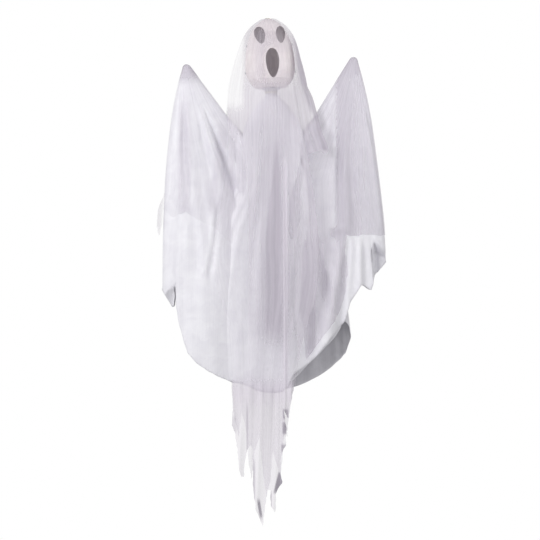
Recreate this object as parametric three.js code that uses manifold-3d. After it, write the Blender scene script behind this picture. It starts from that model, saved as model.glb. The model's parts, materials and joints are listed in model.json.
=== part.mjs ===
// Hanging yard ghost, about 1.5 m tall: a hollow moulded head on a short spine, a shoulder yoke with two arms
// that pivot and stay where they are put, and two layers of cloth: an opaque satin robe and a sheer gauze veil.
// Millimetres. +Z is up, +X is to the viewer's right and -Y is where the ghost looks.
// The origin is the middle of the top face of the crown eyelet, from which the ghost hangs.
import * as THREE from "three";
import { mergeVertices } from "three/addons/utils/BufferGeometryUtils.js";
import Module from "manifold-3d";

const wasm = await Module();
wasm.setup();
const { degToRad, clamp, lerp } = THREE.MathUtils;

// Driving dimensions

const gap = 0.3; // running and seating clearance between pieces
const hangTilt = degToRad(2.5); // the ghost hangs a little off plumb, its left arm lower
const headTurn = degToRad(5); // the head is set a little towards the viewer's right
const roundSteps = 16; // facets round a tube, pin or bore

const eyelet = { bore: 4, barrel: 5.2, flange: 10, flangeThick: 1.2, rim: 7, rimThick: 1.4 };
const washer = { radius: 10, thick: 1.2 };

const head = {
  wall: 2.5,
  height: 206, // crown to the flat underside of the jaw
  width: 75, // half-widths and depths at the fullest section of each side
  front: 97,
  rear: 84,
  widest: 150, // how far below the crown each is fullest
  frontFullest: 170,
  rearFullest: 115,
  jawWidth: 47, // and the same three at the flat underside of the jaw
  jawFront: 67,
  jawRear: 47,
  crownLand: 11.5, // radius of the flat that the eyelet sits on
};
const eye = { x: 31, drop: 51, halfWidth: 15, halfHeight: 27.5, taper: 0.2, lean: degToRad(6) };
const mouth = { x: 0, drop: 137, halfWidth: 20, halfHeight: 44.5, taper: 0.18, lean: 0 };
const seam = { lap: 8, lipWall: 1.6, screwBack: 4, screwDrops: [78, 160] };
const seamScrew = { radius: 1.4, length: 9, headRadius: 3, headThick: 1.6 };

const neck = { radius: 15, flange: 24, flangeThick: 3, length: 30, pinDown: 5, pinRadius: 1.6 };
const spine = { radius: 8, wall: 1.5 };

const yoke = {
  drop: 390, // hang point down to the arm pivots
  reach: 80, // middle to each pivot
  hubRadius: 13,
  hubUp: 30,
  hubDown: 14,
  seat: 4, // floor under the spine's end
  barRoot: 15, // half-height of the bar beside the hub and beside the cheeks
  barTip: 9,
  barHalfThick: 8,
  flangeThick: 3,
  webHalfThick: 2,
  cheekRadius: 16,
  cheekThick: 4,
};
const pivot = { radius: 2.5, headRadius: 4.6, headThick: 3, nutRadius: 4.6, nutThick: 4 };
const frictionWasher = { radius: 7, thick: 0.9 };
const arm = {
  length: 302, // pivot to the middle of the rounded hand tip
  raised: degToRad(55.75), // as photographed, above the yoke's bar
  highest: degToRad(70), // where the knuckle meets the yoke's stops
  lowest: degToRad(-20),
  tubeRadius: 6,
  tubeWall: 1,
  padRadius: 10,
  padStart: 50,
  handLength: 24,
  handBore: 12,
};
const knuckle = { eyeRadius: 11, halfWidth: 6.6, neckHalf: 5, neckEnd: 24, spigot: 30, collar: 2.5 };
const rivet = { radius: 1.5, headRadius: 2.6, headThick: 1.1, fromPivot: 41 };

const satinWall = 1.2;
const gauzeWall = 1;
const layerGap = 0.9; // air between cloth and what it lies on, and between two layers of one drape
const neckBand = { width: 6, thick: 1.8, inset: 1 }; // the tie that gathers the robe round the neck

// Cloth sizes. Hems and edges are read across the ghost from left to right.

// The veil's hood, as [drop below the hang point, half-width or depth] of its sections.
const hood = {
  crown: 18, // above here the cloth lies on the crown, and below it the hood hangs over the face
  rim: 285, // where the hood becomes the loose front and back falls
  notchTop: 200, // armholes, open from here down
  notchHalf: 24,
  width: [[0, 18], [11, 36], [27, 56], [58, 77], [128, 100], [174, 113], [240, 130], [285, 143]],
  front: [[0, 18], [11, 36], [27, 54], [58, 76], [92, 91], [130, 99], [172, 103.5], [285, 105]],
  rear: [[0, 18], [11, 37], [27, 61], [58, 80], [92, 90], [130, 92], [285, 94]],
};

// The long falls of the veil: [drop, left edge, right edge] of each, how far its middle and its edges stand off,
// and the ragged outline of its tail.
const frontFall = {
  middle: [[285, 105], [640, 110], [1100, 116], [1520, 102]],
  side: [[285, 50], [420, 68], [640, 82], [900, 96], [1100, 101], [1520, 92]],
  edges: [
    [285, -122, 128],
    [420, -138, 142],
    [640, -158, 153],
    [800, -142, 128],
    [950, -118, 96],
    [1110, -106, 76],
    [1520, -112, 72],
  ],
  tail: [
    [-300, -280], [-300, -1105], [-106, -1112], [-104, -1200], [-112, -1220], [-95, -1238], [-89, -1281],
    [-85, -1330], [-72, -1372], [-60, -1312], [-48, -1277], [-38, -1300], [-42, -1391], [-36, -1462],
    [-16, -1516], [-8, -1453], [-2, -1408], [7, -1410], [8, -1456], [22, -1473], [24, -1412], [44, -1388],
    [38, -1361], [41, -1294], [52, -1280], [55, -1226], [47, -1171], [61, -1197], [72, -1125], [300, -1105],
    [300, -280],
  ],
};
const backFall = {
  middle: [[285, 94], [640, 100], [1100, 116], [1520, 102]],
  side: [[285, 50], [420, 68], [640, 82], [900, 96], [1100, 101], [1520, 92]],
  edges: [
    [285, -124, 130],
    [420, -140, 142],
    [640, -160, 158],
    [800, -150, 146],
    [950, -128, 112],
    [1110, -110, 78],
    [1520, -102, 70],
  ],
  tail: [
    [-300, -280], [-300, -1090], [-112, -1096], [-106, -1180], [-90, -1262], [-80, -1190], [-66, -1240],
    [-58, -1342], [-50, -1396], [-40, -1300], [-26, -1262], [-16, -1370], [-4, -1448], [8, -1392],
    [14, -1300], [26, -1344], [36, -1386], [44, -1318], [50, -1240], [58, -1262], [64, -1196],
    [74, -1120], [300, -1090], [300, -280],
  ],
};

// The robe, a bell gathered at the neck, as [drop below its collar, half-width or depth] of its sections. Each
// hem runs `low` below the hang point at the middle, and `slope` and `rise` lift it towards the sides.
const robe = {
  belowJaw: 9.2,
  armhole: 480, // side slits round the arms, open from the shoulder to here
  width: [[20, 22], [60, 50], [150, 78], [262, 97], [342, 135], [422, 178], [582, 226], [750, 248], [922, 256]],
  hemReach: 240, // half-width that the hem lines are read over
  foldDepth: 4.5,
  frontHem: { low: 1094, slope: 0.206, rise: 0.00272 },
  backHem: { low: 1117, slope: -0.068, rise: 0.0025 },
  depth: [[20, 20], [60, 27], [150, 33], [262, 37], [342, 39], [422, 42], [582, 52], [750, 60], [922, 66]],
};

// The wings: cloth hung over each arm from its hand tip like a ridge tent, open towards the robe.
// `hem` and `gauzeHem` are the lower edges of the two layers, with X counted outwards.
const wings = {
  [-1]: {
    reach: 64, // how far the outer edge swings out below the hand, and over what fall
    fall: 200,
    hem: [[60, -1094], [105, -1088], [160, -1058], [240, -986], [262, -930], [285, -863], [300, -842], [331, -790], [400, -770]],
    gauzeHem: [[60, -640], [110, -676], [160, -628], [205, -668], [246, -622], [284, -660], [330, -600], [400, -660]],
  },
  [1]: {
    reach: 102,
    fall: 340,
    hem: [[60, -1068], [153, -1000], [228, -908], [246, -850], [279, -798], [308, -816], [322, -768], [362, -722], [420, -700]],
    gauzeHem: [[60, -672], [124, -640], [180, -668], [232, -646], [290, -672], [336, -640], [420, -668]],
  },
};

// Small tools

// A smooth curve through [place, value] pairs that never overshoots them.
function curveThrough(pairs) {
  const places = pairs.map((pair) => pair[0]);
  const values = pairs.map((pair) => pair[1]);
  const last = pairs.length - 1;
  const rises = places.slice(1).map((place, i) => (values[i + 1] - values[i]) / (place - places[i]));
  const slopes = places.map((_, i) => {
    if (i === 0) return rises[0];
    if (i === last) return rises[last - 1];
    return rises[i - 1] * rises[i] <= 0 ? 0 : (2 * rises[i - 1] * rises[i]) / (rises[i - 1] + rises[i]);
  });
  return (place) => {
    const at = clamp(place, places[0], places[last]);
    const i = Math.min(places.findIndex((p, k) => k === last || at <= places[k + 1]), last - 1);
    const span = places[i + 1] - places[i];
    const t = (at - places[i]) / span;
    const toNext = t * t * (3 - 2 * t);
    return (
      lerp(values[i], values[i + 1], toNext) +
      span * (slopes[i] * t * (1 - t) ** 2 + slopes[i + 1] * t * t * (t - 1))
    );
  };
}

const place = ({ at = [0, 0, 0], turn = [0, 0, 0], order = "XYZ" } = {}) =>
  new THREE.Matrix4()
    .makeRotationFromEuler(new THREE.Euler(...turn, order))
    .setPosition(...at);

// A geometry as a manifold-3d solid, ready to be joined and cut.
function solid(geometry, matrix = new THREE.Matrix4()) {
  const loose = geometry.index ? geometry.toNonIndexed() : geometry;
  const bare = new THREE.BufferGeometry();
  bare.setAttribute("position", loose.getAttribute("position").clone());
  const merged = mergeVertices(bare.applyMatrix4(matrix), 1e-4);
  return new wasm.Manifold(
    new wasm.Mesh({
      numProp: 3,
      vertProperties: merged.attributes.position.array,
      triVerts: new Uint32Array(merged.index.array),
    }),
  );
}

function geometryOf(manifold) {
  const mesh = manifold.getMesh();
  const positions = new Float32Array(mesh.numVert * 3);
  for (let i = 0; i < mesh.numVert; i++) {
    positions.set(mesh.vertProperties.subarray(i * mesh.numProp, i * mesh.numProp + 3), i * 3);
  }
  const geometry = new THREE.BufferGeometry();
  geometry.setAttribute("position", new THREE.BufferAttribute(positions, 3));
  geometry.setIndex(Array.from(mesh.triVerts));
  geometry.computeVertexNormals();
  return geometry;
}

// A body of revolution about +Z from [radius, height] points, taken upwards on the outside.
function turned(profile, steps = roundSteps) {
  const points = profile.map(([radius, height]) => new THREE.Vector2(radius, height));
  return new THREE.LatheGeometry(points, steps).rotateX(Math.PI / 2);
}

const disc = (radius, low, high, steps) =>
  turned([[0, low], [radius, low], [radius, high], [0, high]], steps);

const ring = (inner, outer, low, high, steps) =>
  turned([[inner, low], [outer, low], [outer, high], [inner, high], [inner, low]], steps);

const towardsX = new THREE.Matrix4().makeRotationY(Math.PI / 2); // lays a turned body along +X
const towardsY = new THREE.Matrix4().makeRotationX(-Math.PI / 2); // and along +Y

// An outline in X and Z, extruded along Y from `front` to `back`.
function slab(shape, front, back, curveSegments = 8) {
  const geometry = new THREE.ExtrudeGeometry(shape, { depth: back - front, bevelEnabled: false, curveSegments });
  return geometry.rotateX(Math.PI / 2).translate(0, back, 0);
}

const polygon = (points) => new THREE.Shape(points.map(([x, z]) => new THREE.Vector2(x, z)));

const block = (low, high) =>
  new THREE.BoxGeometry(high[0] - low[0], high[1] - low[1], high[2] - low[2]).translate(
    (low[0] + high[0]) / 2,
    (low[1] + high[1]) / 2,
    (low[2] + high[2]) / 2,
  );

// A cloth as a thin closed body over the face `surface(u, v)`: u runs round it, or from left to right as seen
// from outside, and v runs down it. A closed cloth joins its last column to its first. `lift` raises the whole
// body off that face, as an upper layer of the same drape.
function cloth({ columns, rows, wall, surface, closed, lift = 0 }) {
  const across = closed ? columns : columns + 1;
  const base = [];
  for (let j = 0; j <= rows; j++) {
    base.push([...Array(across)].map((_, i) => surface(i / columns, j / rows)));
  }
  const beside = (i) => (closed ? (i + across) % across : clamp(i, 0, across - 1));
  const raised = (height) =>
    base.map((row, j) =>
      row.map((point, i) => {
        const along = row[beside(i + 1)].clone().sub(row[beside(i - 1)]);
        const down = base[Math.min(j + 1, rows)][i].clone().sub(base[Math.max(j - 1, 0)][i]);
        const normal = down.cross(along);
        if (normal.lengthSq() < 1e-9) normal.set(0, 0, 1);
        return point.clone().addScaledVector(normal.normalize(), height);
      }),
    );
  const outer = raised(lift);
  const inner = raised(lift - wall);
  const corners = [];
  const quad = (a, b, c, d) => corners.push(a, b, c, a, c, d);
  const spans = closed ? across : across - 1;
  for (let i = 0; i < spans; i++) {
    const next = beside(i + 1);
    for (let j = 0; j < rows; j++) {
      quad(outer[j][i], outer[j + 1][i], outer[j + 1][next], outer[j][next]);
      quad(inner[j][i], inner[j][next], inner[j + 1][next], inner[j + 1][i]);
    }
    quad(outer[rows][i], inner[rows][i], inner[rows][next], outer[rows][next]);
    quad(inner[0][i], outer[0][i], outer[0][next], inner[0][next]);
  }
  if (!closed) {
    for (let j = 0; j < rows; j++) {
      quad(inner[j][0], inner[j + 1][0], outer[j + 1][0], outer[j][0]);
      quad(outer[j][spans], outer[j + 1][spans], inner[j + 1][spans], inner[j][spans]);
    }
  }
  return new THREE.BufferGeometry().setFromPoints(corners);
}

// Materials

const finish = (color, roughness, metalness = 0) =>
  new THREE.MeshStandardMaterial({ color, roughness, metalness, side: THREE.DoubleSide });
const satin = finish(0xeeedf2, 0.45);
const gauze = finish(0xf4f2f6, 0.9);
const shellPlastic = finish(0xe6e0df, 0.55);
const framePlastic = finish(0x3a3b3e, 0.6);
const steel = finish(0xb9bcc0, 0.35, 1);
const fibre = finish(0x7a5038, 0.8);
const foam = finish(0xf1f1ee, 0.95);

// Head

const crownTop = -(eyelet.flangeThick + 2 * gap + gauzeWall); // outer face of the head at the crown

// Half-widths and depths of the head, `drop` below the crown of its full, uncut dome.
const bulge = (drop, fullest, size, power, jaw) =>
  drop < fullest
    ? size * Math.sqrt(Math.max(0, 1 - (1 - drop / fullest) ** power))
    : size * Math.sqrt(1 - (1 - (jaw / size) ** 2) * ((drop - fullest) / (head.height - fullest)) ** 2);
const headWidth = (drop) => bulge(drop, head.widest, head.width, 2.3, head.jawWidth);
const headFront = (drop) => bulge(drop, head.frontFullest, head.front, 1.8, head.jawFront);
const headRear = (drop) => bulge(drop, head.rearFullest, head.rear, 2.2, head.jawRear);
const landDrop = ((head.crownLand / head.width) ** 2 * head.widest) / 2.3; // dome cut off for the eyelet's seat

const headColumns = 26;
const headDrops = [0, 0.03, 0.08, 0.15, 0.25, 0.37, 0.51, 0.655, 0.777, 0.88, 0.95, 1].map(
  (share) => share * head.height,
);

// The head's outer body, or the body `inset` inside it, closed at the crown's flat and the jaw's underside.
function headBody(inset) {
  const shrink = (size) => (size - inset) / size;
  const level = (drop) => crownTop - inset - drop * ((head.height - 2 * inset) / head.height);
  const loop = (drop) =>
    [...Array(headColumns)].map((_, i) => {
      const angle = (i / headColumns) * 2 * Math.PI;
      const full = Math.max(drop, landDrop);
      const depth = Math.sin(angle) < 0 ? headFront(full) * shrink(head.front) : headRear(full) * shrink(head.rear);
      return new THREE.Vector3(
        headWidth(full) * shrink(head.width) * Math.cos(angle),
        depth * Math.sin(angle),
        level(drop),
      );
    });
  const loops = headDrops.map(loop);
  const top = new THREE.Vector3(0, 0, level(0));
  const foot = new THREE.Vector3(0, 0, level(head.height));
  const corners = [];
  for (let i = 0; i < headColumns; i++) {
    const next = (i + 1) % headColumns;
    corners.push(top, loops[0][i], loops[0][next]);
    for (let j = 0; j + 1 < loops.length; j++) {
      corners.push(loops[j][i], loops[j + 1][i], loops[j + 1][next]);
      corners.push(loops[j][i], loops[j + 1][next], loops[j][next]);
    }
    corners.push(foot, loops.at(-1)[next], loops.at(-1)[i]);
  }
  return solid(new THREE.BufferGeometry().setFromPoints(corners));
}

// An egg-shaped opening, wider above its middle, as a prism through the front of the face.
function faceHole({ x, drop, halfWidth, halfHeight, taper, lean }, side) {
  const steps = 18;
  const points = [...Array(steps)].map((_, i) => {
    const angle = (i / steps) * 2 * Math.PI;
    const px = halfWidth * Math.cos(angle) * (1 + taper * Math.sin(angle));
    const pz = halfHeight * Math.sin(angle);
    return [
      side * (x + px * Math.cos(lean) + pz * Math.sin(lean)),
      crownTop - drop - px * Math.sin(lean) + pz * Math.cos(lean),
    ];
  });
  if (side < 0) points.reverse();
  return solid(slab(polygon(points), -head.front - 40, -5));
}

const faceHoles = () => faceHole(eye, 1).add(faceHole(eye, -1)).add(faceHole(mouth, 1));

const farOff = 2000; // larger than the ghost, for cutting along a plane
const before = (y) => solid(block([-farOff, -farOff, -farOff], [farOff, y, farOff]));
const behind = (y) => solid(block([-farOff, y, -farOff], [farOff, farOff, farOff]));

const seamScrews = seam.screwDrops.flatMap((drop) =>
  [-1, 1].map((side) => ({ side, z: crownTop - drop, x: headWidth(drop) })),
);
const screwMatrix = ({ side, x, z }) =>
  place({ at: [side * x, -seam.screwBack, z], turn: [0, (side * Math.PI) / 2, 0] });

function headShells() {
  const inside = headBody(head.wall);
  const hollow = headBody(0).subtract(inside);
  const lipOuter = headBody(head.wall + gap);
  const lipInner = headBody(head.wall + gap + seam.lipWall);
  const crownHole = solid(disc(eyelet.barrel + gap, crownTop - 12, crownTop + 5));
  const neckHole = solid(disc(neck.radius + gap, crownTop - head.height - 5, crownTop - head.height + 15));
  const screwHoles = seamScrews.map((screw) => solid(disc(seamScrew.radius + gap, -15, 8, 12), screwMatrix(screw)));
  const drilled = [crownHole, neckHole, ...screwHoles];
  const cut = (body, cutters) => cutters.reduce((left, cutter) => left.subtract(cutter), body);

  const face = cut(hollow.subtract(faceHoles()), [behind(-gap / 2), ...drilled]);
  const tongue = lipOuter.subtract(lipInner).subtract(before(-seam.lap)).subtract(behind(gap / 2 + 1));
  const root = headBody(head.wall - 0.4)
    .subtract(lipInner)
    .subtract(before(gap / 2))
    .subtract(behind(seam.lap));
  const openJaw = solid(block([-farOff, -farOff, -farOff], [farOff, farOff, crownTop - head.height + 12]));
  const openCrown = solid(block([-farOff, -farOff, crownTop - 14], [farOff, farOff, farOff]));
  const lip = tongue.add(root).subtract(openJaw).subtract(openCrown);
  const rear = cut(hollow.subtract(before(gap / 2)).add(lip), drilled);
  return { face, rear };
}

function seamScrewBody() {
  const { radius, length, headRadius, headThick } = seamScrew;
  return turned(
    [
      [0, -length],
      [radius, -length + 1.5],
      [radius, gap],
      [headRadius, gap],
      [headRadius, gap + 0.6 * headThick],
      [0.55 * headRadius, gap + headThick],
      [0, gap + headThick],
    ],
    12,
  );
}

// The eyelet clamps the gauze and the head's crown between its flange and the washer over its rolled rim.
const shellUnder = crownTop - head.wall;
const washerTop = shellUnder - gap;
const rimTop = washerTop - washer.thick - gap;

function crownEyelet() {
  const { bore, barrel, flange, flangeThick, rim, rimThick } = eyelet;
  return turned([
    [bore, rimTop - rimThick],
    [rim, rimTop - rimThick],
    [rim, rimTop],
    [barrel, rimTop],
    [barrel, -flangeThick],
    [flange, -flangeThick],
    [flange, -0.3 * flangeThick],
    [flange - 0.8, 0],
    [bore, 0],
    [bore, rimTop - rimThick],
  ]);
}

const crownWasher = () => ring(eyelet.barrel + gap, washer.radius, washerTop - washer.thick, washerTop);

// Neck and spine

const jawUnder = crownTop - head.height;
const jawFloor = jawUnder + head.wall;
const socketTop = jawFloor + gap + neck.flangeThick;
const socketFoot = jawUnder - neck.length;
const spineTop = socketTop - 1;
const neckPinLevel = jawUnder - neck.pinDown;
const hubFoot = -yoke.drop - yoke.hubDown;
const spineFoot = hubFoot + yoke.seat + gap;
const yokeBoltLevel = -yoke.drop + yoke.hubUp / 2;

const crossHole = (radius, level) =>
  solid(disc(radius + gap, -60, 60, 12), place({ at: [0, 0, level], turn: [-Math.PI / 2, 0, 0] }));

function neckSocket() {
  const bore = spine.radius + gap;
  const body = turned([
    [bore, socketFoot],
    [neck.radius - 2, socketFoot],
    [neck.radius, socketFoot + 3],
    [neck.radius, jawFloor + gap],
    [neck.flange, jawFloor + gap],
    [neck.flange - 1, socketTop],
    [bore, socketTop],
    [bore, socketFoot],
  ]);
  return solid(body).subtract(crossHole(neck.pinRadius, neckPinLevel));
}

function spineTube() {
  const tube = solid(ring(spine.radius - spine.wall, spine.radius, spineFoot, spineTop));
  return tube.subtract(crossHole(neck.pinRadius, neckPinLevel)).subtract(crossHole(pivot.radius, yokeBoltLevel));
}

// A headed pin along +Y whose head stands in front of y = -grip and whose end is `past` behind +grip.
function headedPin(radius, headRadius, headThick, grip, past) {
  return turned(
    [
      [0, -grip - gap - headThick],
      [0.7 * headRadius, -grip - gap - headThick],
      [headRadius, -grip - gap - 0.4 * headThick],
      [headRadius, -grip - gap],
      [radius, -grip - gap],
      [radius, grip + past - 0.6],
      [radius - 0.6, grip + past],
      [0, grip + past],
    ],
    12,
  ).applyMatrix4(towardsY);
}

// A hexagon nut behind y = `from`, with its domed locking collar.
function lockNut(from) {
  const hexagon = solid(disc(pivot.nutRadius, from + gap, from + gap + 0.65 * pivot.nutThick, 6), towardsY);
  const collar = solid(
    disc(0.85 * pivot.nutRadius, from + gap, from + gap + pivot.nutThick, 12),
    towardsY,
  );
  return hexagon.add(collar).subtract(solid(disc(pivot.radius + gap, from - 5, from + 20, 12), towardsY));
}

// Shoulder yoke: a hub on the spine's foot, two pocketed bars and a pair of cheeks at each end.

const knuckleSide = knuckle.halfWidth;
const washerFront = knuckleSide + gap;
const cheekInner = washerFront + frictionWasher.thick + gap;
const cheekOuter = cheekInner + yoke.cheekThick;

// The bar's outline above and below its middle line, `inset` inside itself, from the hub to one pivot.
function barOutline(side, inset) {
  const root = yoke.hubRadius - 2 + 2.2 * inset;
  const tip = yoke.reach - (inset > 0 ? yoke.cheekRadius + inset : 4);
  const bar = new THREE.Shape();
  const edge = (x) => lerp(yoke.barRoot, yoke.barTip, clamp((x - yoke.hubRadius) / (yoke.reach - yoke.hubRadius), 0, 1));
  bar.moveTo(side * root, edge(root) - inset);
  bar.quadraticCurveTo(side * 0.5 * (root + tip), edge(tip) - inset, side * tip, edge(tip) - inset);
  bar.lineTo(side * tip, inset - edge(tip));
  bar.quadraticCurveTo(side * 0.5 * (root + tip), inset - edge(tip), side * root, inset - edge(root));
  bar.closePath();
  return bar;
}

// What the knuckle's neck sweeps between its stops, and the room round its eye.
function knuckleRoom(side) {
  const half = knuckle.neckHalf + gap;
  const reach = yoke.cheekRadius + 6;
  const turnOf = (angle) => (side > 0 ? -angle : angle - Math.PI);
  const neckAt = (angle) =>
    solid(block([0, -cheekInner, -half], [reach, cheekInner, half]), place({ turn: [0, turnOf(angle), 0] }));
  const sweep = new THREE.Shape();
  sweep.moveTo(0, 0);
  sweep.lineTo(reach * Math.cos(arm.lowest), reach * Math.sin(arm.lowest));
  sweep.absarc(0, 0, reach, arm.lowest, arm.highest, false);
  sweep.closePath();
  const fan = solid(slab(sweep, -cheekInner, cheekInner), place({ turn: [0, 0, side > 0 ? 0 : Math.PI] }));
  const eyeRoom = solid(disc(knuckle.eyeRadius + 2 * gap, -cheekInner, cheekInner), towardsY);
  const room = neckAt(arm.lowest).add(neckAt(arm.highest)).add(fan).add(eyeRoom);
  return room.translate([side * yoke.reach, 0, -yoke.drop]);
}

function shoulderYoke() {
  const hub = solid(disc(yoke.hubRadius, hubFoot, -yoke.drop + yoke.hubUp));
  let body = hub;
  for (const side of [-1, 1]) {
    const moved = place({ at: [0, 0, -yoke.drop] });
    const cheeks = solid(disc(yoke.cheekRadius, -cheekOuter, cheekOuter, 24), towardsY);
    body = body
      .add(solid(slab(barOutline(side, 0), -yoke.barHalfThick, yoke.barHalfThick), moved))
      .add(cheeks.translate([side * yoke.reach, 0, -yoke.drop]));
  }
  for (const side of [-1, 1]) {
    const moved = place({ at: [0, 0, -yoke.drop] });
    const outline = barOutline(side, yoke.flangeThick);
    body = body
      .subtract(solid(slab(outline, -yoke.barHalfThick - 5, -yoke.webHalfThick), moved))
      .subtract(solid(slab(outline, yoke.webHalfThick, yoke.barHalfThick + 5), moved))
      .subtract(knuckleRoom(side))
      .subtract(solid(disc(pivot.radius + gap, -40, 40, 12), towardsY).translate([side * yoke.reach, 0, -yoke.drop]));
  }
  const bore = solid(disc(spine.radius + gap, spineFoot - gap, -yoke.drop + yoke.hubUp + 5));
  return body.subtract(bore).subtract(crossHole(pivot.radius, yokeBoltLevel));
}

// Arm, built along +X from its pivot

const alongX = (geometry) => geometry.applyMatrix4(towardsX);

function armKnuckle() {
  const { eyeRadius, halfWidth, neckHalf, neckEnd, spigot, collar } = knuckle;
  const eyeDisc = solid(disc(eyeRadius, -halfWidth, halfWidth), towardsY);
  const neckBar = solid(block([0, -neckHalf, -neckHalf], [neckEnd, neckHalf, neckHalf]));
  const stem = solid(
    alongX(
      turned([
        [0, neckEnd - 1],
        [arm.tubeRadius, neckEnd - 1],
        [arm.tubeRadius, neckEnd + collar],
        [arm.tubeRadius - arm.tubeWall - gap, neckEnd + collar],
        [arm.tubeRadius - arm.tubeWall - gap, neckEnd + collar + spigot - 2],
        [arm.tubeRadius - arm.tubeWall - gap - 1.5, neckEnd + collar + spigot],
        [0, neckEnd + collar + spigot],
      ]),
    ),
  );
  const pivotHole = solid(disc(pivot.radius + gap, -20, 20, 12), towardsY);
  const rivetHole = solid(disc(rivet.radius + gap, -20, 20, 12), towardsY).translate([rivet.fromPivot, 0, 0]);
  return eyeDisc.add(neckBar).add(stem).subtract(pivotHole).subtract(rivetHole);
}

const handBack = arm.length - arm.handLength + arm.padRadius;
const tubeEnd = handBack + arm.handBore - gap;

function armTube() {
  const start = knuckle.neckEnd + knuckle.collar + gap;
  const tube = solid(alongX(ring(arm.tubeRadius - arm.tubeWall, arm.tubeRadius, start, tubeEnd)));
  return tube.subtract(
    solid(disc(rivet.radius + gap, -20, 20, 12), towardsY).translate([rivet.fromPivot, 0, 0]),
  );
}

const armPad = () => alongX(ring(arm.tubeRadius + gap, arm.padRadius, arm.padStart, handBack - gap));

function handTip() {
  const bore = arm.tubeRadius + gap;
  const domeSteps = 6;
  const dome = [...Array(domeSteps + 1)].map((_, i) => {
    const angle = (i / domeSteps) * (Math.PI / 2);
    return [arm.padRadius * Math.cos(angle), arm.length + arm.padRadius * Math.sin(angle)];
  });
  dome[domeSteps][0] = 0;
  return alongX(
    turned([
      [0, handBack + arm.handBore],
      [bore, handBack + arm.handBore],
      [bore, handBack],
      [arm.padRadius, handBack],
      ...dome,
    ]),
  );
}

function armRivet() {
  const { radius, headRadius, headThick } = rivet;
  const grip = arm.tubeRadius;
  return turned(
    [
      [0, -grip - gap - headThick],
      [0.6 * headRadius, -grip - gap - headThick],
      [headRadius, -grip - gap],
      [radius, -grip - gap],
      [radius, grip + gap],
      [headRadius, grip + gap],
      [0.6 * headRadius, grip + gap + headThick],
      [0, grip + gap + headThick],
    ],
    12,
  ).applyMatrix4(towardsY);
}

// Places in the part's own frame

const frameMatrix = new THREE.Matrix4().makeRotationY(-hangTilt);
const headMatrix = frameMatrix.clone().multiply(new THREE.Matrix4().makeRotationZ(headTurn));

// One arm's pivot, its angle above the horizon and the middle of its hand tip, with X counted outwards.
function armPlaces(side) {
  const shoulder = new THREE.Vector3(side * yoke.reach, 0, -yoke.drop).applyMatrix4(frameMatrix);
  const angle = arm.raised + side * hangTilt;
  return {
    side,
    angle,
    shoulder,
    tipX: side * shoulder.x + arm.length * Math.cos(angle),
    tipZ: shoulder.z + arm.length * Math.sin(angle),
  };
}

// Cloth. Drops are below the hang point.

const hoodWidth = curveThrough(hood.width);
const hoodFront = curveThrough(hood.front);
const hoodRear = curveThrough(hood.rear);

// Gentle upright folds of the loose gauze, none where it is stretched over the head.
const gauzeFold = (x, drop) => {
  const depth = clamp((drop - 170) / 500, 0, 1) * 5;
  return depth * Math.cos((x / 40) * 2 * Math.PI + drop / 260) + 0.5 * depth * Math.cos(x / 10.5 + 1.3);
};

const hoodRows = 9;

function hoodSurface(u, v) {
  const angle = 2 * Math.PI * u;
  const top = -eyelet.flangeThick - gap;
  const upright = new THREE.Vector3(0, 1, 0);
  if (v === 0) {
    const hole = eyelet.barrel + gap;
    return new THREE.Vector3(hole * Math.cos(angle), hole * Math.sin(angle), top).applyAxisAngle(upright, -hangTilt);
  }
  const drop = hood.rim * ((v * hoodRows - 1) / (hoodRows - 1)) ** 1.5;
  const x = hoodWidth(drop) * Math.cos(angle);
  const y = (Math.sin(angle) < 0 ? hoodFront(drop) : hoodRear(drop)) * Math.sin(angle);
  const fold = gauzeFold(x, drop) * Math.sin(angle);
  // the crown leans with the head and the rest hangs plumb
  const lean = hangTilt * clamp(1 - drop / 120, 0, 1);
  return new THREE.Vector3(x, y + fold, Math.min(top, -drop)).applyAxisAngle(upright, -lean);
}

// The veil over the head, parted at the edge of its crown.
function hoodBodies() {
  const body = solid(cloth({ columns: 30, rows: hoodRows, wall: gauzeWall, surface: hoodSurface, closed: true }));
  const notch = block([-farOff, -hood.notchHalf, -farOff], [farOff, hood.notchHalf, -hood.notchTop]);
  const above = block([-farOff, -farOff, -hood.crown], [farOff, farOff, farOff]);
  const below = block([-farOff, -farOff, -farOff], [farOff, farOff, -hood.crown - gap]);
  return { crown: body.intersect(solid(above)), hood: body.intersect(solid(below)).subtract(solid(notch)) };
}

const fallTop = hood.rim + gap;

function fallSurface(fall, back) {
  const left = curveThrough(fall.edges.map(([drop, x]) => [drop, x]));
  const right = curveThrough(fall.edges.map(([drop, , x]) => [drop, x]));
  const side = curveThrough(fall.side);
  const middle = curveThrough(fall.middle);
  const foot = fall.edges.at(-1)[0];
  return (u, v) => {
    const drop = lerp(fallTop, foot, v);
    const along = back ? 1 - u : u;
    const x = lerp(left(drop), right(drop), along);
    const out = 2 * along - 1;
    const top = clamp(1 - (drop - fallTop) / 120, 0, 1); // still the hood's own section just under its rim
    const rimDepth = (back ? hoodRear : hoodFront)(hood.rim);
    const hoodDepth = rimDepth * Math.sqrt(Math.max(0, 1 - (x / hoodWidth(hood.rim)) ** 2));
    const loose = lerp(middle(drop), side(drop), out * out);
    const depth = lerp(loose, hoodDepth, top) + gauzeFold(x, drop);
    return new THREE.Vector3(x, back ? depth : -depth, -drop);
  };
}

function fallBody(fall, back) {
  const sheet = solid(
    cloth({ columns: 16, rows: 9, wall: gauzeWall, surface: fallSurface(fall, back), closed: false }),
  );
  const outline = solid(slab(polygon(fall.tail), back ? 5 : -farOff, back ? farOff : -5));
  return sheet.intersect(outline);
}

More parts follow.
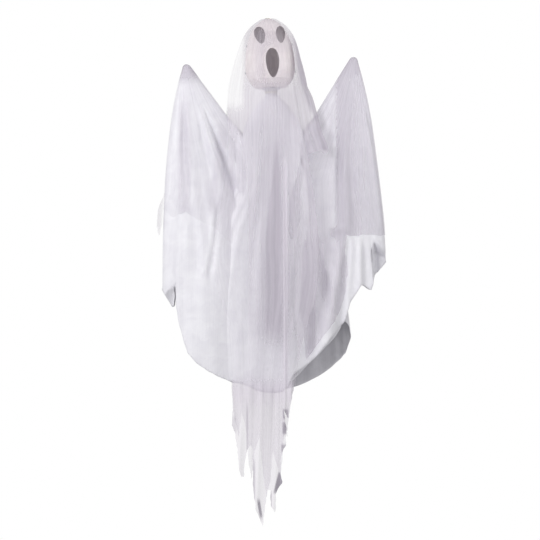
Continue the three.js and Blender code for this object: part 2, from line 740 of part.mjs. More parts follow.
const robeCollar = neck.radius + gap + satinWall; // gathered round the neck socket
const robeWidth = curveThrough([[0, robeCollar], [10, robeCollar], ...robe.width]); // by the drop below its top
const robeDepth = curveThrough([[0, robeCollar], [10, robeCollar], ...robe.depth]);
const robeTop = robe.belowJaw - jawUnder; // below the hang point
const hemLine = ({ low, slope, rise }, x) => slope * x + rise * x * x - low;

function robeSurface(u, v) {
  const angle = 2 * Math.PI * u;
  const x = robe.hemReach * Math.cos(angle);
  const share = 0.5 - 0.5 * clamp(Math.sin(angle) * 3, -1, 1);
  const hem = -lerp(hemLine(robe.backHem, x), hemLine(robe.frontHem, x), share);
  const fall = (hem - robeTop) * (v < 0.23 ? v * v : lerp(0.05, 1, (v - 0.223) / 0.777));
  const pleat = clamp(fall / 700, 0, 1) * robe.foldDepth * Math.cos(11 * angle + fall / 300);
  const point = new THREE.Vector3(
    (robeWidth(fall) + 0.6 * pleat) * Math.cos(angle),
    (robeDepth(fall) + pleat) * Math.sin(angle),
    -robeTop - fall,
  );
  // the collar leans with the neck and the rest hangs plumb
  return point.applyAxisAngle(new THREE.Vector3(0, 1, 0), -hangTilt * clamp(1 - (fall - 12) / 150, 0, 1));
}

function robeBody() {
  const body = solid(cloth({ columns: 28, rows: 9, wall: satinWall, surface: robeSurface, closed: true }));
  const slit = block([-farOff, -hood.notchHalf, -robe.armhole], [farOff, hood.notchHalf, farOff]);
  const kept = block([-yoke.reach + yoke.cheekRadius + 4, -farOff, -farOff], [yoke.reach - yoke.cheekRadius - 4, farOff, farOff]);
  return body.subtract(solid(slit).subtract(solid(kept)));
}

const domeRows = 3;
const wingDepths = [26, 70, 130, 215, 320, 450, 600, 760, 960]; // rows of the hanging cloth, below the hand tip
const tipCover = arm.padRadius + layerGap + satinWall; // radius of the satin over the hand tip
const gauzeCover = layerGap + gauzeWall; // what the gauze over it adds
const cheekClear = 5; // from the yoke's cheeks to the wings' inner edges

function wingSurface(side, depths) {
  const { reach, fall } = wings[side];
  const { angle, tipX, tipZ } = armPlaces(side);
  const radius = tipCover;
  const rows = domeRows + depths.length;
  const ridge = (x) => tipZ + radius / Math.cos(angle) - (tipX - x) * Math.tan(angle); // cloth over the arm at x
  return (u, v) => {
    const row = Math.round(v * rows);
    const domed = Math.min(row / domeRows, 1) * (Math.PI / 2);
    const below = row > domeRows ? depths[row - domeRows - 1] : 0; // drop below the middle of the hand tip
    const z = tipZ + radius * Math.cos(domed) - below;
    const outer = tipX + radius * Math.sin(domed) + reach * (1 - Math.exp(-below / fall));
    const onRidge = tipX - radius * Math.sin(angle) - (tipZ + radius * Math.cos(angle) - z) / Math.tan(angle);
    const inner = z > tipZ + radius * Math.cos(angle) ? tipX - radius * Math.sin(domed) : Math.max(20, onRidge);
    const turn = 2 * Math.PI * u;
    const across = side * Math.cos(turn);
    const x = (outer + inner) / 2 + ((outer - inner) / 2) * across;
    const sag = Math.max(0, Math.min(ridge(x), tipZ) - z);
    const square = lerp(1, 0.42, clamp(below / 40, 0, 1)); // from a round section at the tip to a flattened one
    const reachOut = Math.sign(Math.sin(turn)) * Math.abs(Math.sin(turn)) ** square;
    const pleat = clamp(below / 700, 0, 1) * 4 * Math.cos(8 * turn + side + below / 240);
    const depth = radius * Math.sin(domed) + 58 * (sag / 660) ** 0.6 + pleat;
    return new THREE.Vector3(side * x, depth * reachOut, z);
  };
}

function wingBody(side, { lift, wall, hem, rows }) {
  const surface = wingSurface(side, wingDepths.slice(0, rows));
  const body = solid(cloth({ columns: 24, rows: domeRows + rows, wall, surface, closed: true, lift }));
  const innerEdge = side * armPlaces(side).shoulder.x + yoke.cheekRadius + cheekClear;
  const corners = [[innerEdge, 50], ...hem.filter(([x]) => x > innerEdge), [hem.at(-1)[0], 50]];
  corners.splice(1, 0, [innerEdge, hem[0][1]]);
  const outline = polygon(side > 0 ? corners : corners.map(([x, z]) => [-x, z]));
  return body.intersect(solid(slab(outline, -farOff, farOff)));
}

// Assembly

const ghost = new THREE.Group();
const frame = new THREE.Group();
frame.rotation.y = -hangTilt;
const skull = new THREE.Group();
skull.rotation.z = headTurn;
frame.add(skull);
ghost.add(frame);

function add(group, name, shape, material, at = [0, 0, 0]) {
  const geometry = shape.isBufferGeometry ? shape : geometryOf(shape);
  const mesh = new THREE.Mesh(geometry, material);
  mesh.name = name;
  mesh.position.set(...at);
  group.add(mesh);
  return mesh;
}

const shells = headShells();
add(skull, "face_shell", shells.face, shellPlastic);
add(skull, "rear_shell", shells.rear, shellPlastic);
seamScrews.forEach((screw, i) => {
  const mesh = add(skull, `seam_screw_${i + 1}`, seamScrewBody(), steel);
  mesh.applyMatrix4(screwMatrix(screw));
});
add(frame, "crown_eyelet", crownEyelet(), steel);
add(frame, "crown_washer", crownWasher(), steel);
add(frame, "neck_socket", neckSocket(), framePlastic);
const bandInner = robeCollar + gap;
const band = ring(bandInner, bandInner + neckBand.thick, -neckBand.width, 0, 24);
add(frame, "neck_band", band, framePlastic, [0, 0, -robeTop - neckBand.inset]);
const neckPin = headedPin(neck.pinRadius, 3, 1.6, neck.radius, 3);
add(frame, "neck_pin", neckPin, steel, [0, 0, neckPinLevel]);
add(frame, "spine_tube", spineTube(), steel);
add(frame, "shoulder_yoke", shoulderYoke(), framePlastic);
const hubBolt = headedPin(pivot.radius, pivot.headRadius, pivot.headThick, yoke.hubRadius, 6);
add(frame, "yoke_bolt", hubBolt, steel, [0, 0, yokeBoltLevel]);
add(frame, "yoke_nut", lockNut(yoke.hubRadius), steel, [0, 0, yokeBoltLevel]);

for (const [side, word] of [[-1, "left"], [1, "right"]]) {
  const at = [side * yoke.reach, 0, -yoke.drop];
  const bolt = headedPin(pivot.radius, pivot.headRadius, pivot.headThick, cheekOuter, 6);
  add(frame, `${word}_pivot_bolt`, bolt, steel, at);
  add(frame, `${word}_pivot_nut`, lockNut(cheekOuter), steel, at);
  for (const [facing, end] of [[-1, "front"], [1, "rear"]]) {
    const low = facing > 0 ? washerFront : -washerFront - frictionWasher.thick;
    const plate = ring(pivot.radius + gap, frictionWasher.radius, low, low + frictionWasher.thick, 16);
    add(frame, `${word}_${end}_friction_washer`, plate.applyMatrix4(towardsY), fibre, at);
  }
  const limb = new THREE.Group();
  limb.position.set(...at);
  limb.rotation.y = side > 0 ? -arm.raised : arm.raised - Math.PI;
  frame.add(limb);
  add(limb, `${word}_arm_knuckle`, armKnuckle(), framePlastic);
  add(limb, `${word}_arm_tube`, armTube(), steel);
  add(limb, `${word}_arm_rivet`, armRivet(), steel, [rivet.fromPivot, 0, 0]);
  add(limb, `${word}_arm_pad`, armPad(), foam);
  add(limb, `${word}_hand_tip`, handTip(), foam);
  const lining = { lift: 0, wall: satinWall, hem: wings[side].hem, rows: 9 };
  const cover = { lift: gauzeCover, wall: gauzeWall, hem: wings[side].gauzeHem, rows: 7 };
  add(ghost, `${word}_wing_satin`, wingBody(side, lining), satin);
  add(ghost, `${word}_wing_gauze`, wingBody(side, cover), gauze);
}

const hoods = hoodBodies();
add(ghost, "gauze_crown", hoods.crown, gauze);
add(ghost, "gauze_hood", hoods.hood, gauze);
add(ghost, "front_veil_fall", fallBody(frontFall, false), gauze);
add(ghost, "back_veil_fall", fallBody(backFall, true), gauze);
add(ghost, "satin_robe", robeBody(), satin);

export default ghost;
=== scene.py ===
import json
import logging
import math
from dataclasses import dataclass, field
from enum import Enum
from typing import ClassVar

import bmesh
import bpy
import numpy as np
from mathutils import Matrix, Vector


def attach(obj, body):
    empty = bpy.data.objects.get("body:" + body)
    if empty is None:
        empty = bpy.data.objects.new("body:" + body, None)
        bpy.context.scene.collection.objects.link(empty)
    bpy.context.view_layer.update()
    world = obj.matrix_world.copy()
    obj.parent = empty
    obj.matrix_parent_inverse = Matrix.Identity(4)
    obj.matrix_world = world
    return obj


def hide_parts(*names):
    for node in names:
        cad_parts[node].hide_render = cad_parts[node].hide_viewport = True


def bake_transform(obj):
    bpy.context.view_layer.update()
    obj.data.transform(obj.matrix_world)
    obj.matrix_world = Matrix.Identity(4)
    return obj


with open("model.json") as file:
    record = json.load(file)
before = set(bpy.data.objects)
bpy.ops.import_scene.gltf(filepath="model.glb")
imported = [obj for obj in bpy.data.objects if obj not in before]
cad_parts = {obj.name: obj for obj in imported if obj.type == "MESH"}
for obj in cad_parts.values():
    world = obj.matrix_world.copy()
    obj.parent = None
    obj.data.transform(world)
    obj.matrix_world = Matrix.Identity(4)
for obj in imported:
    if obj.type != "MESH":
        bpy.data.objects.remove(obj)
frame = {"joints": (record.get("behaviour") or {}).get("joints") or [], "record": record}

log = logging.getLogger("yard_ghost")

Grid = np.ndarray  # numbers or points laid out by row and column of a cloth
MM = 0.001  # metres to a millimetre
HANG_TILT = math.radians(2.5)  # the ghost hangs a little off plumb
PLAIN_SHADE = 0.3  # how much shade is painted into the gauze's colour where nothing else is said
SATIN_THICKNESS = 0.9  # millimetres; real satin is thinner, but its turned edges look about this thick
TO_THE_HEM = (3000.0, 3200.0)  # levels below everything, for what runs on down to the hem
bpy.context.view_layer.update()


class Facing(Enum):
    """Which half of the ghost a cloth hangs on, as the sign of Y."""

    FRONT = -1
    BACK = 1


class Hand(Enum):
    """Which arm a wing hangs from, as the sign of X, by the viewer's left and right."""

    LEFT = -1
    RIGHT = 1

    @property
    def word(self) -> str:
        """The word that the frame's names start with."""
        return self.name.lower()


# Small tools


def linear(color: str) -> tuple[float, float, float, float]:
    """Turns an sRGB hex colour into the linear one that shader sockets take.

    Args:
        color: Six hex digits after a hash sign.

    Returns:
        Red, green, blue and an alpha of 1.
    """
    shares = [int(color[i : i + 2], 16) / 255 for i in (1, 3, 5)]
    return (*[s / 12.92 if s <= 0.04045 else ((s + 0.055) / 1.055) ** 2.4 for s in shares], 1.0)


def smooth(value: Grid, start: float, end: float) -> Grid:
    """Rises smoothly from 0 at start to 1 at end."""
    t = np.clip((value - start) / (end - start), 0.0, 1.0)
    return t * t * (3 - 2 * t)


def mixed(first: Grid, second: Grid, share: Grid) -> Grid:
    """Goes from first at a share of 0 to second at a share of 1."""
    return first + (second - first) * share


class Curve:
    """A smooth curve through pairs of place and value that never overshoots them."""

    def __init__(self, *pairs: tuple[float, float]) -> None:
        """Keeps the pairs and works out a slope at each.

        Args:
            pairs: Place and value of each point, in the order of their places.
        """
        self.places = np.array([place for place, _ in pairs], float)
        self.values = np.array([value for _, value in pairs], float)
        rises = np.diff(self.values) / np.diff(self.places)
        before, after = rises[:-1], rises[1:]
        alike = before * after > 0
        inner = np.where(alike, 2 * before * after / np.where(alike, before + after, 1.0), 0.0)
        self.slopes = np.concatenate([rises[:1], inner, rises[-1:]])

    def __call__(self, place: Grid) -> Grid:
        """Reads the curve.

        Args:
            place: Places, held to the curve's two ends.

        Returns:
            The values there.
        """
        at = np.clip(place, self.places[0], self.places[-1])
        i = np.clip(np.searchsorted(self.places, at, side="right") - 1, 0, len(self.places) - 2)
        span = self.places[i + 1] - self.places[i]
        t = (at - self.places[i]) / span
        level = mixed(self.values[i], self.values[i + 1], t * t * (3 - 2 * t))
        return level + span * (self.slopes[i] * t * (1 - t) ** 2 + self.slopes[i + 1] * t * t * (t - 1))


def leaned(points: Grid, lean: Grid) -> Grid:
    """Turns points about the hang point in the plane of the front view.

    Args:
        points: Points whose last axis holds X, Y and Z.
        lean: Angle for each point, positive as the ghost hangs.

    Returns:
        The turned points.
    """
    x, y, z = points[..., 0], points[..., 1], points[..., 2]
    return np.stack([x * np.cos(lean) - z * np.sin(lean), y, x * np.sin(lean) + z * np.cos(lean)], axis=-1)


def outward(points: Grid) -> Grid:
    """Unit normals of a grid of points whose rows run down and whose columns run round against the clock from above."""
    normals = np.cross(np.gradient(points, axis=0), np.gradient(points, axis=1))
    return normals / np.maximum(np.linalg.norm(normals, axis=-1, keepdims=True), 1e-9)


def inside(outline: Grid, x: Grid, z: Grid) -> Grid:
    """Tells which places lie within a closed outline.

    Args:
        outline: Corners of the outline, as X and Z.
        x: X of each place.
        z: Z of each place.

    Returns:
        True for each place within.
    """
    within = np.zeros(x.shape, bool)
    for (x0, z0), (x1, z1) in zip(outline, np.roll(outline, -1, axis=0)):
        if z0 != z1:
            crosses = (z0 > z) != (z1 > z)
            within ^= crosses & (x < (x1 - x0) * (z - z0) / (z1 - z0) + x0)
    return within


def onto(outline: Grid, x: Grid, z: Grid) -> tuple[Grid, Grid]:
    """Finds the nearest point of a closed outline to each place.

    Args:
        outline: Corners of the outline, as X and Z.
        x: X of each place.
        z: Z of each place.

    Returns:
        X and Z of the nearest points.
    """
    starts = outline[None]
    along = (np.roll(outline, -1, axis=0) - outline)[None]
    here = np.stack([x, z], axis=-1)[:, None]
    length = np.maximum((along**2).sum(-1), 1e-9)
    share = np.clip(((here - starts) * along).sum(-1) / length, 0, 1)
    spots = starts + share[..., None] * along
    best = ((spots - here) ** 2).sum(-1).argmin(axis=1)
    found = spots[np.arange(len(best)), best]
    return found[:, 0], found[:, 1]


def frayed(corners: list[tuple[float, float]], step: float, fray: float, seed: int) -> Grid:
    """Breaks an outline into short steps and pulls them about, as a raw cut edge frays.

    Args:
        corners: Corners of the outline, as X and Z.
        step: Longest step along it, in millimetres.
        fray: How far a point may be pulled, in millimetres.
        seed: Seed of the draws.

    Returns:
        The corners of the frayed outline.
    """
    draws = np.random.default_rng(seed)
    points = []
    for (x0, z0), (x1, z1) in zip(corners, corners[1:] + corners[:1]):
        count = max(1, math.ceil(math.hypot(x1 - x0, z1 - z0) / step))
        for i in range(count):
            pull = draws.uniform(-fray, fray, 2) * (1.0, 1.6)  # further up and down than sideways
            points.append((x0 + (x1 - x0) * i / count + pull[0], z0 + (z1 - z0) * i / count + pull[1]))
    return np.array(points)


# Folds. Each gives how far the cloth stands out, by its place across and down the cloth.


def pleats(across: Grid, down: Grid, seed: int, count: int, span: tuple[float, float], width: float,
           height: float, starts: tuple[float, float], sway: float, sink: float = 1.0) -> Grid:
    """Many narrow folds that start at different levels and wander a little on their way down.

    Args:
        across: Place across the cloth.
        down: Place down the cloth, in millimetres.
        seed: Seed of the draws.
        count: How many folds.
        span: First and last place across that has folds.
        width: Half-width of a middling fold, in the units of across.
        height: Height of the highest folds, in millimetres.
        starts: Range of levels at which they begin.
        sway: How far a fold wanders sideways, in the units of across.
        sink: 1 draws the cloth between the folds in until it hangs where it would without them, and 0 leaves it.

    Returns:
        How far the cloth stands out.
    """
    draws = np.random.default_rng(seed)
    total = np.zeros(np.broadcast(across, down).shape)
    pitch = (span[1] - span[0]) / count
    for i in range(count):
        # no two folds are alike in place, width, height, start and sway
        middle = span[0] + pitch * (i + draws.uniform(0.15, 0.85))
        own_width = width * draws.uniform(0.6, 1.6)
        own_height = height * draws.uniform(0.25, 1.0)
        start = draws.uniform(*starts)
        phase, length = draws.uniform(0, 2 * math.pi), draws.uniform(320, 700)
        centre = middle + sway * np.sin(down / length * 2 * math.pi + phase)
        off = (across - centre) / own_width
        drawn_in = sink * own_width * math.sqrt(math.pi) / (span[1] - span[0])
        total += own_height * smooth(down, start, start + 300) * (np.exp(-off * off) - drawn_in)
    return total


@dataclass(frozen=True)
class Pleat:
    """One fold that the photograph shows, as places across by the level down."""

    path: Curve
    width: float
    height: float
    begins: tuple[float, float]
    ends: tuple[float, float] = TO_THE_HEM

    def __call__(self, across: Grid, down: Grid) -> Grid:
        """Reads the fold, which has a narrow draw-in on its right side.

        Args:
            across: Place across the cloth.
            down: Place down the cloth.

        Returns:
            How far the cloth stands out there.
        """
        off = (across - self.path(down)) / self.width
        ramp = smooth(down, *self.begins) * (1 - smooth(down, *self.ends))
        return self.height * ramp * (np.exp(-off * off) - 0.45 * np.exp(-((off - 1.7) ** 2)))


@dataclass(frozen=True)
class Layer:
    """A strip of gauze that lies in more or fewer thicknesses than the rest, between two lines down the cloth, with its
    own amount of painted shade.
    """

    left: Curve
    right: Curve
    cover: float
    begins: tuple[float, float]
    ends: tuple[float, float] = TO_THE_HEM
    soft: tuple[float, float] = (6.0, 6.0)  # over what width it starts at its left and right
    shade: float = PLAIN_SHADE  # how much shade is painted into its colour

    def there(self, x: Grid, down: Grid) -> Grid:
        """Share of each point that lies in this strip.

        Args:
            x: X of each point.
            down: Level of each point below the hang point.

        Returns:
            The share, from 0 to 1.
        """
        before, after = self.soft[0] / 2, self.soft[1] / 2
        left, right = self.left(down), self.right(down)
        sides = smooth(x, left - before, left + before) * (1 - smooth(x, right - after, right + after))
        return sides * smooth(down, *self.begins) * (1 - smooth(down, *self.ends))


def strip(left: float, right: float, cover: float, begins: tuple[float, float], ends: tuple[float, float],
          soft: tuple[float, float] = (6.0, 6.0), shade: float = PLAIN_SHADE) -> Layer:
    """Makes a layer whose two sides are plumb."""
    return Layer(Curve((0, left), (1600, left)), Curve((0, right), (1600, right)), cover, begins, ends, soft, shade)


def layered(layers: list[Layer], x: Grid, down: Grid, cover: Grid, shade: Grid,
            where: Grid | float = 1.0) -> tuple[Grid, Grid]:
    """Lays layers over what a gauze hides and how much shade is painted into its colour.

    Args:
        layers: The layers, each over those before it.
        x: X of each point.
        down: Level of each point below the hang point.
        cover: How much each point hides without them.
        shade: How much painted shade each point has without them.
        where: Share of each point that may take them.

    Returns:
        The new cover and shade.
    """
    for layer in layers:
        there = layer.there(x, down) * where
        cover, shade = mixed(cover, layer.cover, there), mixed(shade, layer.shade, there)
    return cover, shade


# Cloth meshes


@dataclass
class Panel:
    """A cut of cloth as a grid of points in millimetres, with what its material reads."""

    points: Grid
    cover: Grid | float = 1.0
    shade: Grid | float = PLAIN_SHADE
    outline: Grid | None = None
    sewn_to: float = math.inf  # level down to which its two sides are sewn on

    def layout(self) -> Grid:
        """Lays the grid out flat, for the cloth's UV map.

        Returns:
            Place of each point on the flat cloth, in metres.
        """
        steps_across = np.linalg.norm(np.diff(self.points, axis=1), axis=-1)
        steps_down = np.linalg.norm(np.diff(self.points, axis=0), axis=-1)
        across = np.concatenate([[0.0], np.cumsum(steps_across, axis=1).mean(axis=0)])[None]
        down = np.concatenate([[0.0], np.cumsum(steps_down, axis=0).mean(axis=1)])[:, None]
        return np.stack(np.broadcast_arrays(across, -down), axis=-1).reshape(-1, 2) * MM

    def trimmed(self) -> tuple[Grid, Grid]:
        """Cuts the grid along its outline.

        Returns:
            The points, with those at the cut moved onto it, and the faces that are kept.
        """
        rows, columns = self.points.shape[:2]
        points = self.points.reshape(-1, 3).copy()
        index = np.arange(rows * columns).reshape(rows, columns)
        faces = np.stack([index[:-1, :-1], index[1:, :-1], index[1:, 1:], index[:-1, 1:]], axis=-1).reshape(-1, 4)
        if self.outline is None:
            return points, faces
        middles = points[faces].mean(axis=1)
        kept = inside(self.outline, middles[:, 0], middles[:, 2])
        cut = np.intersect1d(faces[kept], faces[~kept])
        points[cut, 0], points[cut, 2] = onto(self.outline, points[cut, 0], points[cut, 2])
        return points, faces[kept]

    def sewn(self) -> Grid:
        """Tells which points lie on a sewn side.

        Returns:
            True for each such point.
        """
        marks = np.zeros(self.points.shape[:2], bool)
        marks[:, [0, -1]] = self.points[:, [0, -1], 2] > -self.sewn_to
        return marks.reshape(-1)


def sewn_cloth(name: str, *panels: Panel) -> bpy.types.Object:
    """Makes one mesh of a cloth's panels.

    Args:
        name: Name of the new piece.
        panels: Its cuts; points marked as sewn join those of the next cut at the same place.

    Returns:
        The new piece, at the origin.
    """
    points, faces, layout, sewn = [], [], [], []
    painted = {"cover": [], "shade": []}
    for number, panel in enumerate(panels):
        own_points, own_faces = panel.trimmed()
        faces.append(own_faces + sum(map(len, points)))
        points.append(own_points)
        layout.append(panel.layout() + (number, 0.0))
        sewn.append(panel.sewn())
        for word, values in painted.items():
            values.append(np.broadcast_to(getattr(panel, word), panel.points.shape[:2]).reshape(-1))
    faces = np.concatenate(faces)
    corners = np.concatenate(layout)[faces.reshape(-1)].reshape(-1)
    mesh = bpy.data.meshes.new(name)
    mesh.from_pydata((np.concatenate(points) * MM).tolist(), [], faces.tolist())
    mesh.uv_layers.new(name="cloth").data.foreach_set("uv", corners.astype(np.float32))
    for word, values in painted.items():
        mesh.attributes.new(word, "FLOAT", "POINT").data.foreach_set("value", np.concatenate(values).astype(np.float32))
    work = bmesh.new()
    work.from_mesh(mesh)
    work.verts.ensure_lookup_table()
    seams = [work.verts[i] for i in np.flatnonzero(np.concatenate(sewn))]
    bmesh.ops.remove_doubles(work, verts=seams, dist=0.02 * MM)
    bmesh.ops.delete(work, geom=[v for v in work.verts if not v.link_faces], context="VERTS")
    bmesh.ops.dissolve_degenerate(work, edges=work.edges, dist=0.05 * MM)
    for face in work.faces:
        face.smooth = True
    work.to_mesh(mesh)
    work.free()
    cloth = bpy.data.objects.new(name, mesh)
    bpy.context.scene.collection.objects.link(cloth)
    return cloth


def dress_in_satin(cloth: bpy.types.Object) -> None:
    """Gives a cloth satin outside, its dull side inside, in a darker colour that paints shade, and its thickness
    inwards.

    Args:
        cloth: The cloth, which has no material yet.
    """
    for finish in (SATIN, INNER_SATIN_PAINTED_SHADE):
        cloth.data.materials.append(finish.material())
    wall = cloth.modifiers.new("cloth thickness", "SOLIDIFY")
    wall.thickness = SATIN_THICKNESS * MM
    wall.offset = -1
    wall.use_rim = True
    wall.material_offset = 1
    bpy.context.view_layer.objects.active = cloth
    bpy.ops.object.modifier_apply(modifier=wall.name)


def report(cloth: bpy.types.Object) -> None:
    """Logs how many faces a cloth has and how much cloth they are."""
    faces = cloth.data.polygons
    log.info("%s: %d faces, %.3f square metres", cloth.name, len(faces), sum(face.area for face in faces))


# Finishes


def add_node(tree: bpy.types.NodeTree, kind: str, settings: dict | None = None, values: dict | None = None,
             links: dict | None = None) -> bpy.types.Node:
    """Adds a shader node with its settings, socket values and links.

    Args:
        tree: The node tree.
        kind: The node's type, without the ShaderNode in front.
        settings: The node's own properties by name.
        values: Values of input sockets by name or number.
        links: What feeds input sockets, by their name or number: an output socket, or a node for its first one.

    Returns:
        The new node.
    """
    made = tree.nodes.new(f"ShaderNode{kind}")
    for name, value in (settings or {}).items():
        setattr(made, name, value)
    for name, value in (values or {}).items():
        made.inputs[name].default_value = value
    for name, source in (links or {}).items():
        if isinstance(source, bpy.types.Node):
            source = next(socket for socket in source.outputs if socket.enabled)
        tree.links.new(source, made.inputs[name])
    return made


@dataclass(frozen=True)
class Finish:
    """A finish that runs between two colours."""

    name: str
    color: str
    # second colour: random clouding for most finishes, painted shade for the gauze
    shade: str

    def tint(self, tree: bpy.types.NodeTree, share: bpy.types.Node) -> bpy.types.Node:
        """Runs from the colour to its shade by a node's share."""
        ends = {"A": linear(self.color), "B": linear(self.shade)}
        return add_node(tree, "Mix", {"data_type": "RGBA"}, ends, {"Factor": share})

    def shader(self, tree: bpy.types.NodeTree) -> bpy.types.Node:
        """Plain matt paint; the finishes below have shaders of their own."""
        return add_node(tree, "BsdfDiffuse", values={"Color": linear(self.color)})

    def material(self) -> bpy.types.Material:
        """Builds the material.

        Returns:
            The new material.
        """
        material = bpy.data.materials.new(self.name)
        material.use_nodes = True
        material.node_tree.nodes.clear()
        add_node(material.node_tree, "OutputMaterial", links={"Surface": self.shader(material.node_tree)})
        return material


@dataclass(frozen=True)
class Satin(Finish):
    """Polyester satin, woven with long floats: a soft sheen along the fall, faint thread streaks and fine creases."""

    roughness: float = 0.42
    thread_mm: float = 2.2  # real threads are 0.1 mm apart; drawn coarser, so that their streaks show
    crease_mm: float = 38.0  # the size of the creases left from packing

    def shader(self, tree: bpy.types.NodeTree) -> bpy.types.Node:
        """Builds the shader.

        Args:
            tree: The material's node tree.

        Returns:
            The shader's node.
        """
        flat = add_node(tree, "UVMap", {"uv_map": "cloth"})
        threads = (1 / (self.thread_mm * MM), 9.0, 1.0)  # the streaks are about a ninth of a metre long
        along = add_node(tree, "Mapping", values={"Scale": threads}, links={"Vector": flat})
        streaks = add_node(tree, "TexNoise", {"noise_dimensions": "2D"},
                           {"Scale": 1.0, "Detail": 2.0, "Roughness": 0.6}, {"Vector": along})
        place = add_node(tree, "TexCoord").outputs["Object"]
        creases = add_node(tree, "TexNoise", links={"Vector": place},
                           values={"Scale": 1 / (self.crease_mm * MM), "Detail": 4.0, "Distortion": 0.8})
        share = add_node(tree, "MapRange", values={"From Min": 0.3, "From Max": 0.75}, links={"Value": streaks})
        cloud = add_node(tree, "MapRange", values={"From Min": 0.35, "From Max": 0.7}, links={"Value": creases})
        both = add_node(tree, "Math", {"operation": "MULTIPLY_ADD"}, {1: 0.55}, {0: share, 2: cloud})
        halved = add_node(tree, "Math", {"operation": "MULTIPLY", "use_clamp": True}, {1: 0.55}, {0: both})
        polish = add_node(tree, "MapRange", values={"To Min": self.roughness - 0.07, "To Max": self.roughness + 0.1},
                          links={"Value": streaks})
        weave = add_node(tree, "Bump", values={"Strength": 0.22, "Distance": 0.0006}, links={"Height": streaks})
        packed = add_node(tree, "Bump", values={"Strength": 0.3, "Distance": 0.006},
                          links={"Height": creases, "Normal": weave})
        return add_node(tree, "BsdfPrincipled", values={"IOR": 1.5, "Sheen Weight": 0.12, "Sheen Roughness": 0.4},
                        links={"Base Color": self.tint(tree, halved), "Roughness": polish, "Normal": packed})


@dataclass(frozen=True)
class Gauze(Finish):
    """Polyester gauze, an open crinkled weave: sheer where it lies flat, denser where its threads are bunched, and
    greyer where shade is painted on.
    """

    streak_mm: float = 9.0  # the threads are 0.5 mm apart; they bunch into streaks of about this width
    weave_mm: float = 2.6  # the open weave, drawn coarser than the real one so that it shows
    streak: float = 0.045  # how much the bunching changes what shows through
    deeper: float = 0.12  # how much the bunching changes the painted shade

    def shader(self, tree: bpy.types.NodeTree) -> bpy.types.Node:
        """Builds the shader, which reads the cloth's cover attribute and its painted-shade attribute, shade.

        Args:
            tree: The material's node tree.

        Returns:
            The shader's node.
        """
        flat = add_node(tree, "UVMap", {"uv_map": "cloth"})
        bunches = (1 / (self.streak_mm * MM), 3.0, 1.0)  # the streaks are about a third of a metre long
        along = add_node(tree, "Mapping", values={"Scale": bunches}, links={"Vector": flat})
        streaks = add_node(tree, "TexNoise", {"noise_dimensions": "2D"},
                           {"Scale": 1.0, "Detail": 1.5, "Roughness": 0.5}, {"Vector": along})
        threads = add_node(tree, "TexNoise", {"noise_dimensions": "2D"},
                           {"Scale": 1 / (self.weave_mm * MM), "Detail": 2.0}, {"Vector": flat})
        painted = {}
        for word, change in (("cover", self.streak), ("shade", -self.deeper)):
            drawn = add_node(tree, "MapRange", links={"Value": streaks},
                             values={"From Min": 0.3, "From Max": 0.7, "To Min": -change, "To Max": change})
            level = add_node(tree, "Attribute", {"attribute_name": word}).outputs["Fac"]
            painted[word] = add_node(tree, "Math", {"operation": "ADD", "use_clamp": True}, links={0: level, 1: drawn})
        crinkle = add_node(tree, "Bump", values={"Strength": 0.3, "Distance": 0.002}, links={"Height": streaks})
        weave = add_node(tree, "Bump", values={"Strength": 0.15, "Distance": 0.0008},
                         links={"Height": threads, "Normal": crinkle})
        # the colour runs towards the grey second colour by the painted shade
        tint = self.tint(tree, painted["shade"])
        return add_node(tree, "BsdfPrincipled",
                        values={"Roughness": 0.85, "IOR": 1.45, "Sheen Weight": 0.1, "Sheen Roughness": 0.5},
                        links={"Base Color": tint, "Alpha": painted["cover"], "Normal": weave})


@dataclass(frozen=True)
class Moulded(Finish):
    """A moulded or drawn finish for the hard pieces: one colour that clouds a little, with a fine grain and scuffs."""

    roughness: float
    grain_mm: float  # size of the grain or brush marks
    grain: float  # how deep the grain looks, in millimetres
    cloud_mm: float = 30.0
    metal: bool = False

    def shader(self, tree: bpy.types.NodeTree) -> bpy.types.Node:
        """Builds the shader.

        Args:
            tree: The material's node tree.

        Returns:
            The shader's node.
        """
        place = add_node(tree, "TexCoord").outputs["Object"]
        cloud, grain = [
            add_node(tree, "TexNoise", values={"Scale": 1 / (size * MM), "Detail": 3.0}, links={"Vector": place})
            for size in (self.cloud_mm, self.grain_mm)
        ]
        spread = add_node(tree, "MapRange", values={"From Min": 0.3, "From Max": 0.7}, links={"Value": cloud})
        polish = add_node(tree, "MapRange", values={"To Min": self.roughness - 0.1, "To Max": self.roughness + 0.1},
                          links={"Value": grain})
        relief = add_node(tree, "Bump", values={"Strength": 0.35, "Distance": self.grain * MM}, links={"Height": grain})
        return add_node(tree, "BsdfPrincipled", values={"Metallic": float(self.metal)},
                        links={"Base Color": self.tint(tree, spread), "Roughness": polish, "Normal": relief})


# blow-moulded polyethylene, uncoloured with a warm cast: soft and slightly waxy, with a fine sand-blasted grain
SHELL = Moulded("blow_moulded_polyethylene", "#f0e9ea", "#e6dddf", 0.5, 1.6, 0.2)
# injection-moulded nylon, uncoloured: a warm off-white, satin, with a spark-eroded grain
NYLON = Moulded("natural_nylon", "#dfdcd4", "#d3cfc5", 0.5, 0.9, 0.12)
# zinc-plated steel, drawn and barrel-plated: a cool grey that clouds a little
STEEL = Moulded("zinc_plated_steel", "#b9bcc0", "#a2a6ab", 0.36, 2.5, 0.04, metal=True)
# nickel-plated brass, pressed: brighter and warmer than the screws
NICKEL = Moulded("nickel_plated_brass", "#cfcac0", "#bdb7ab", 0.28, 2.0, 0.03, metal=True)
# vulcanised fibre, stamped: red-brown, dry and dull
FIBRE = Moulded("vulcanised_fibre", "#7a5038", "#6a432f", 0.8, 0.8, 0.1, cloud_mm=6.0)
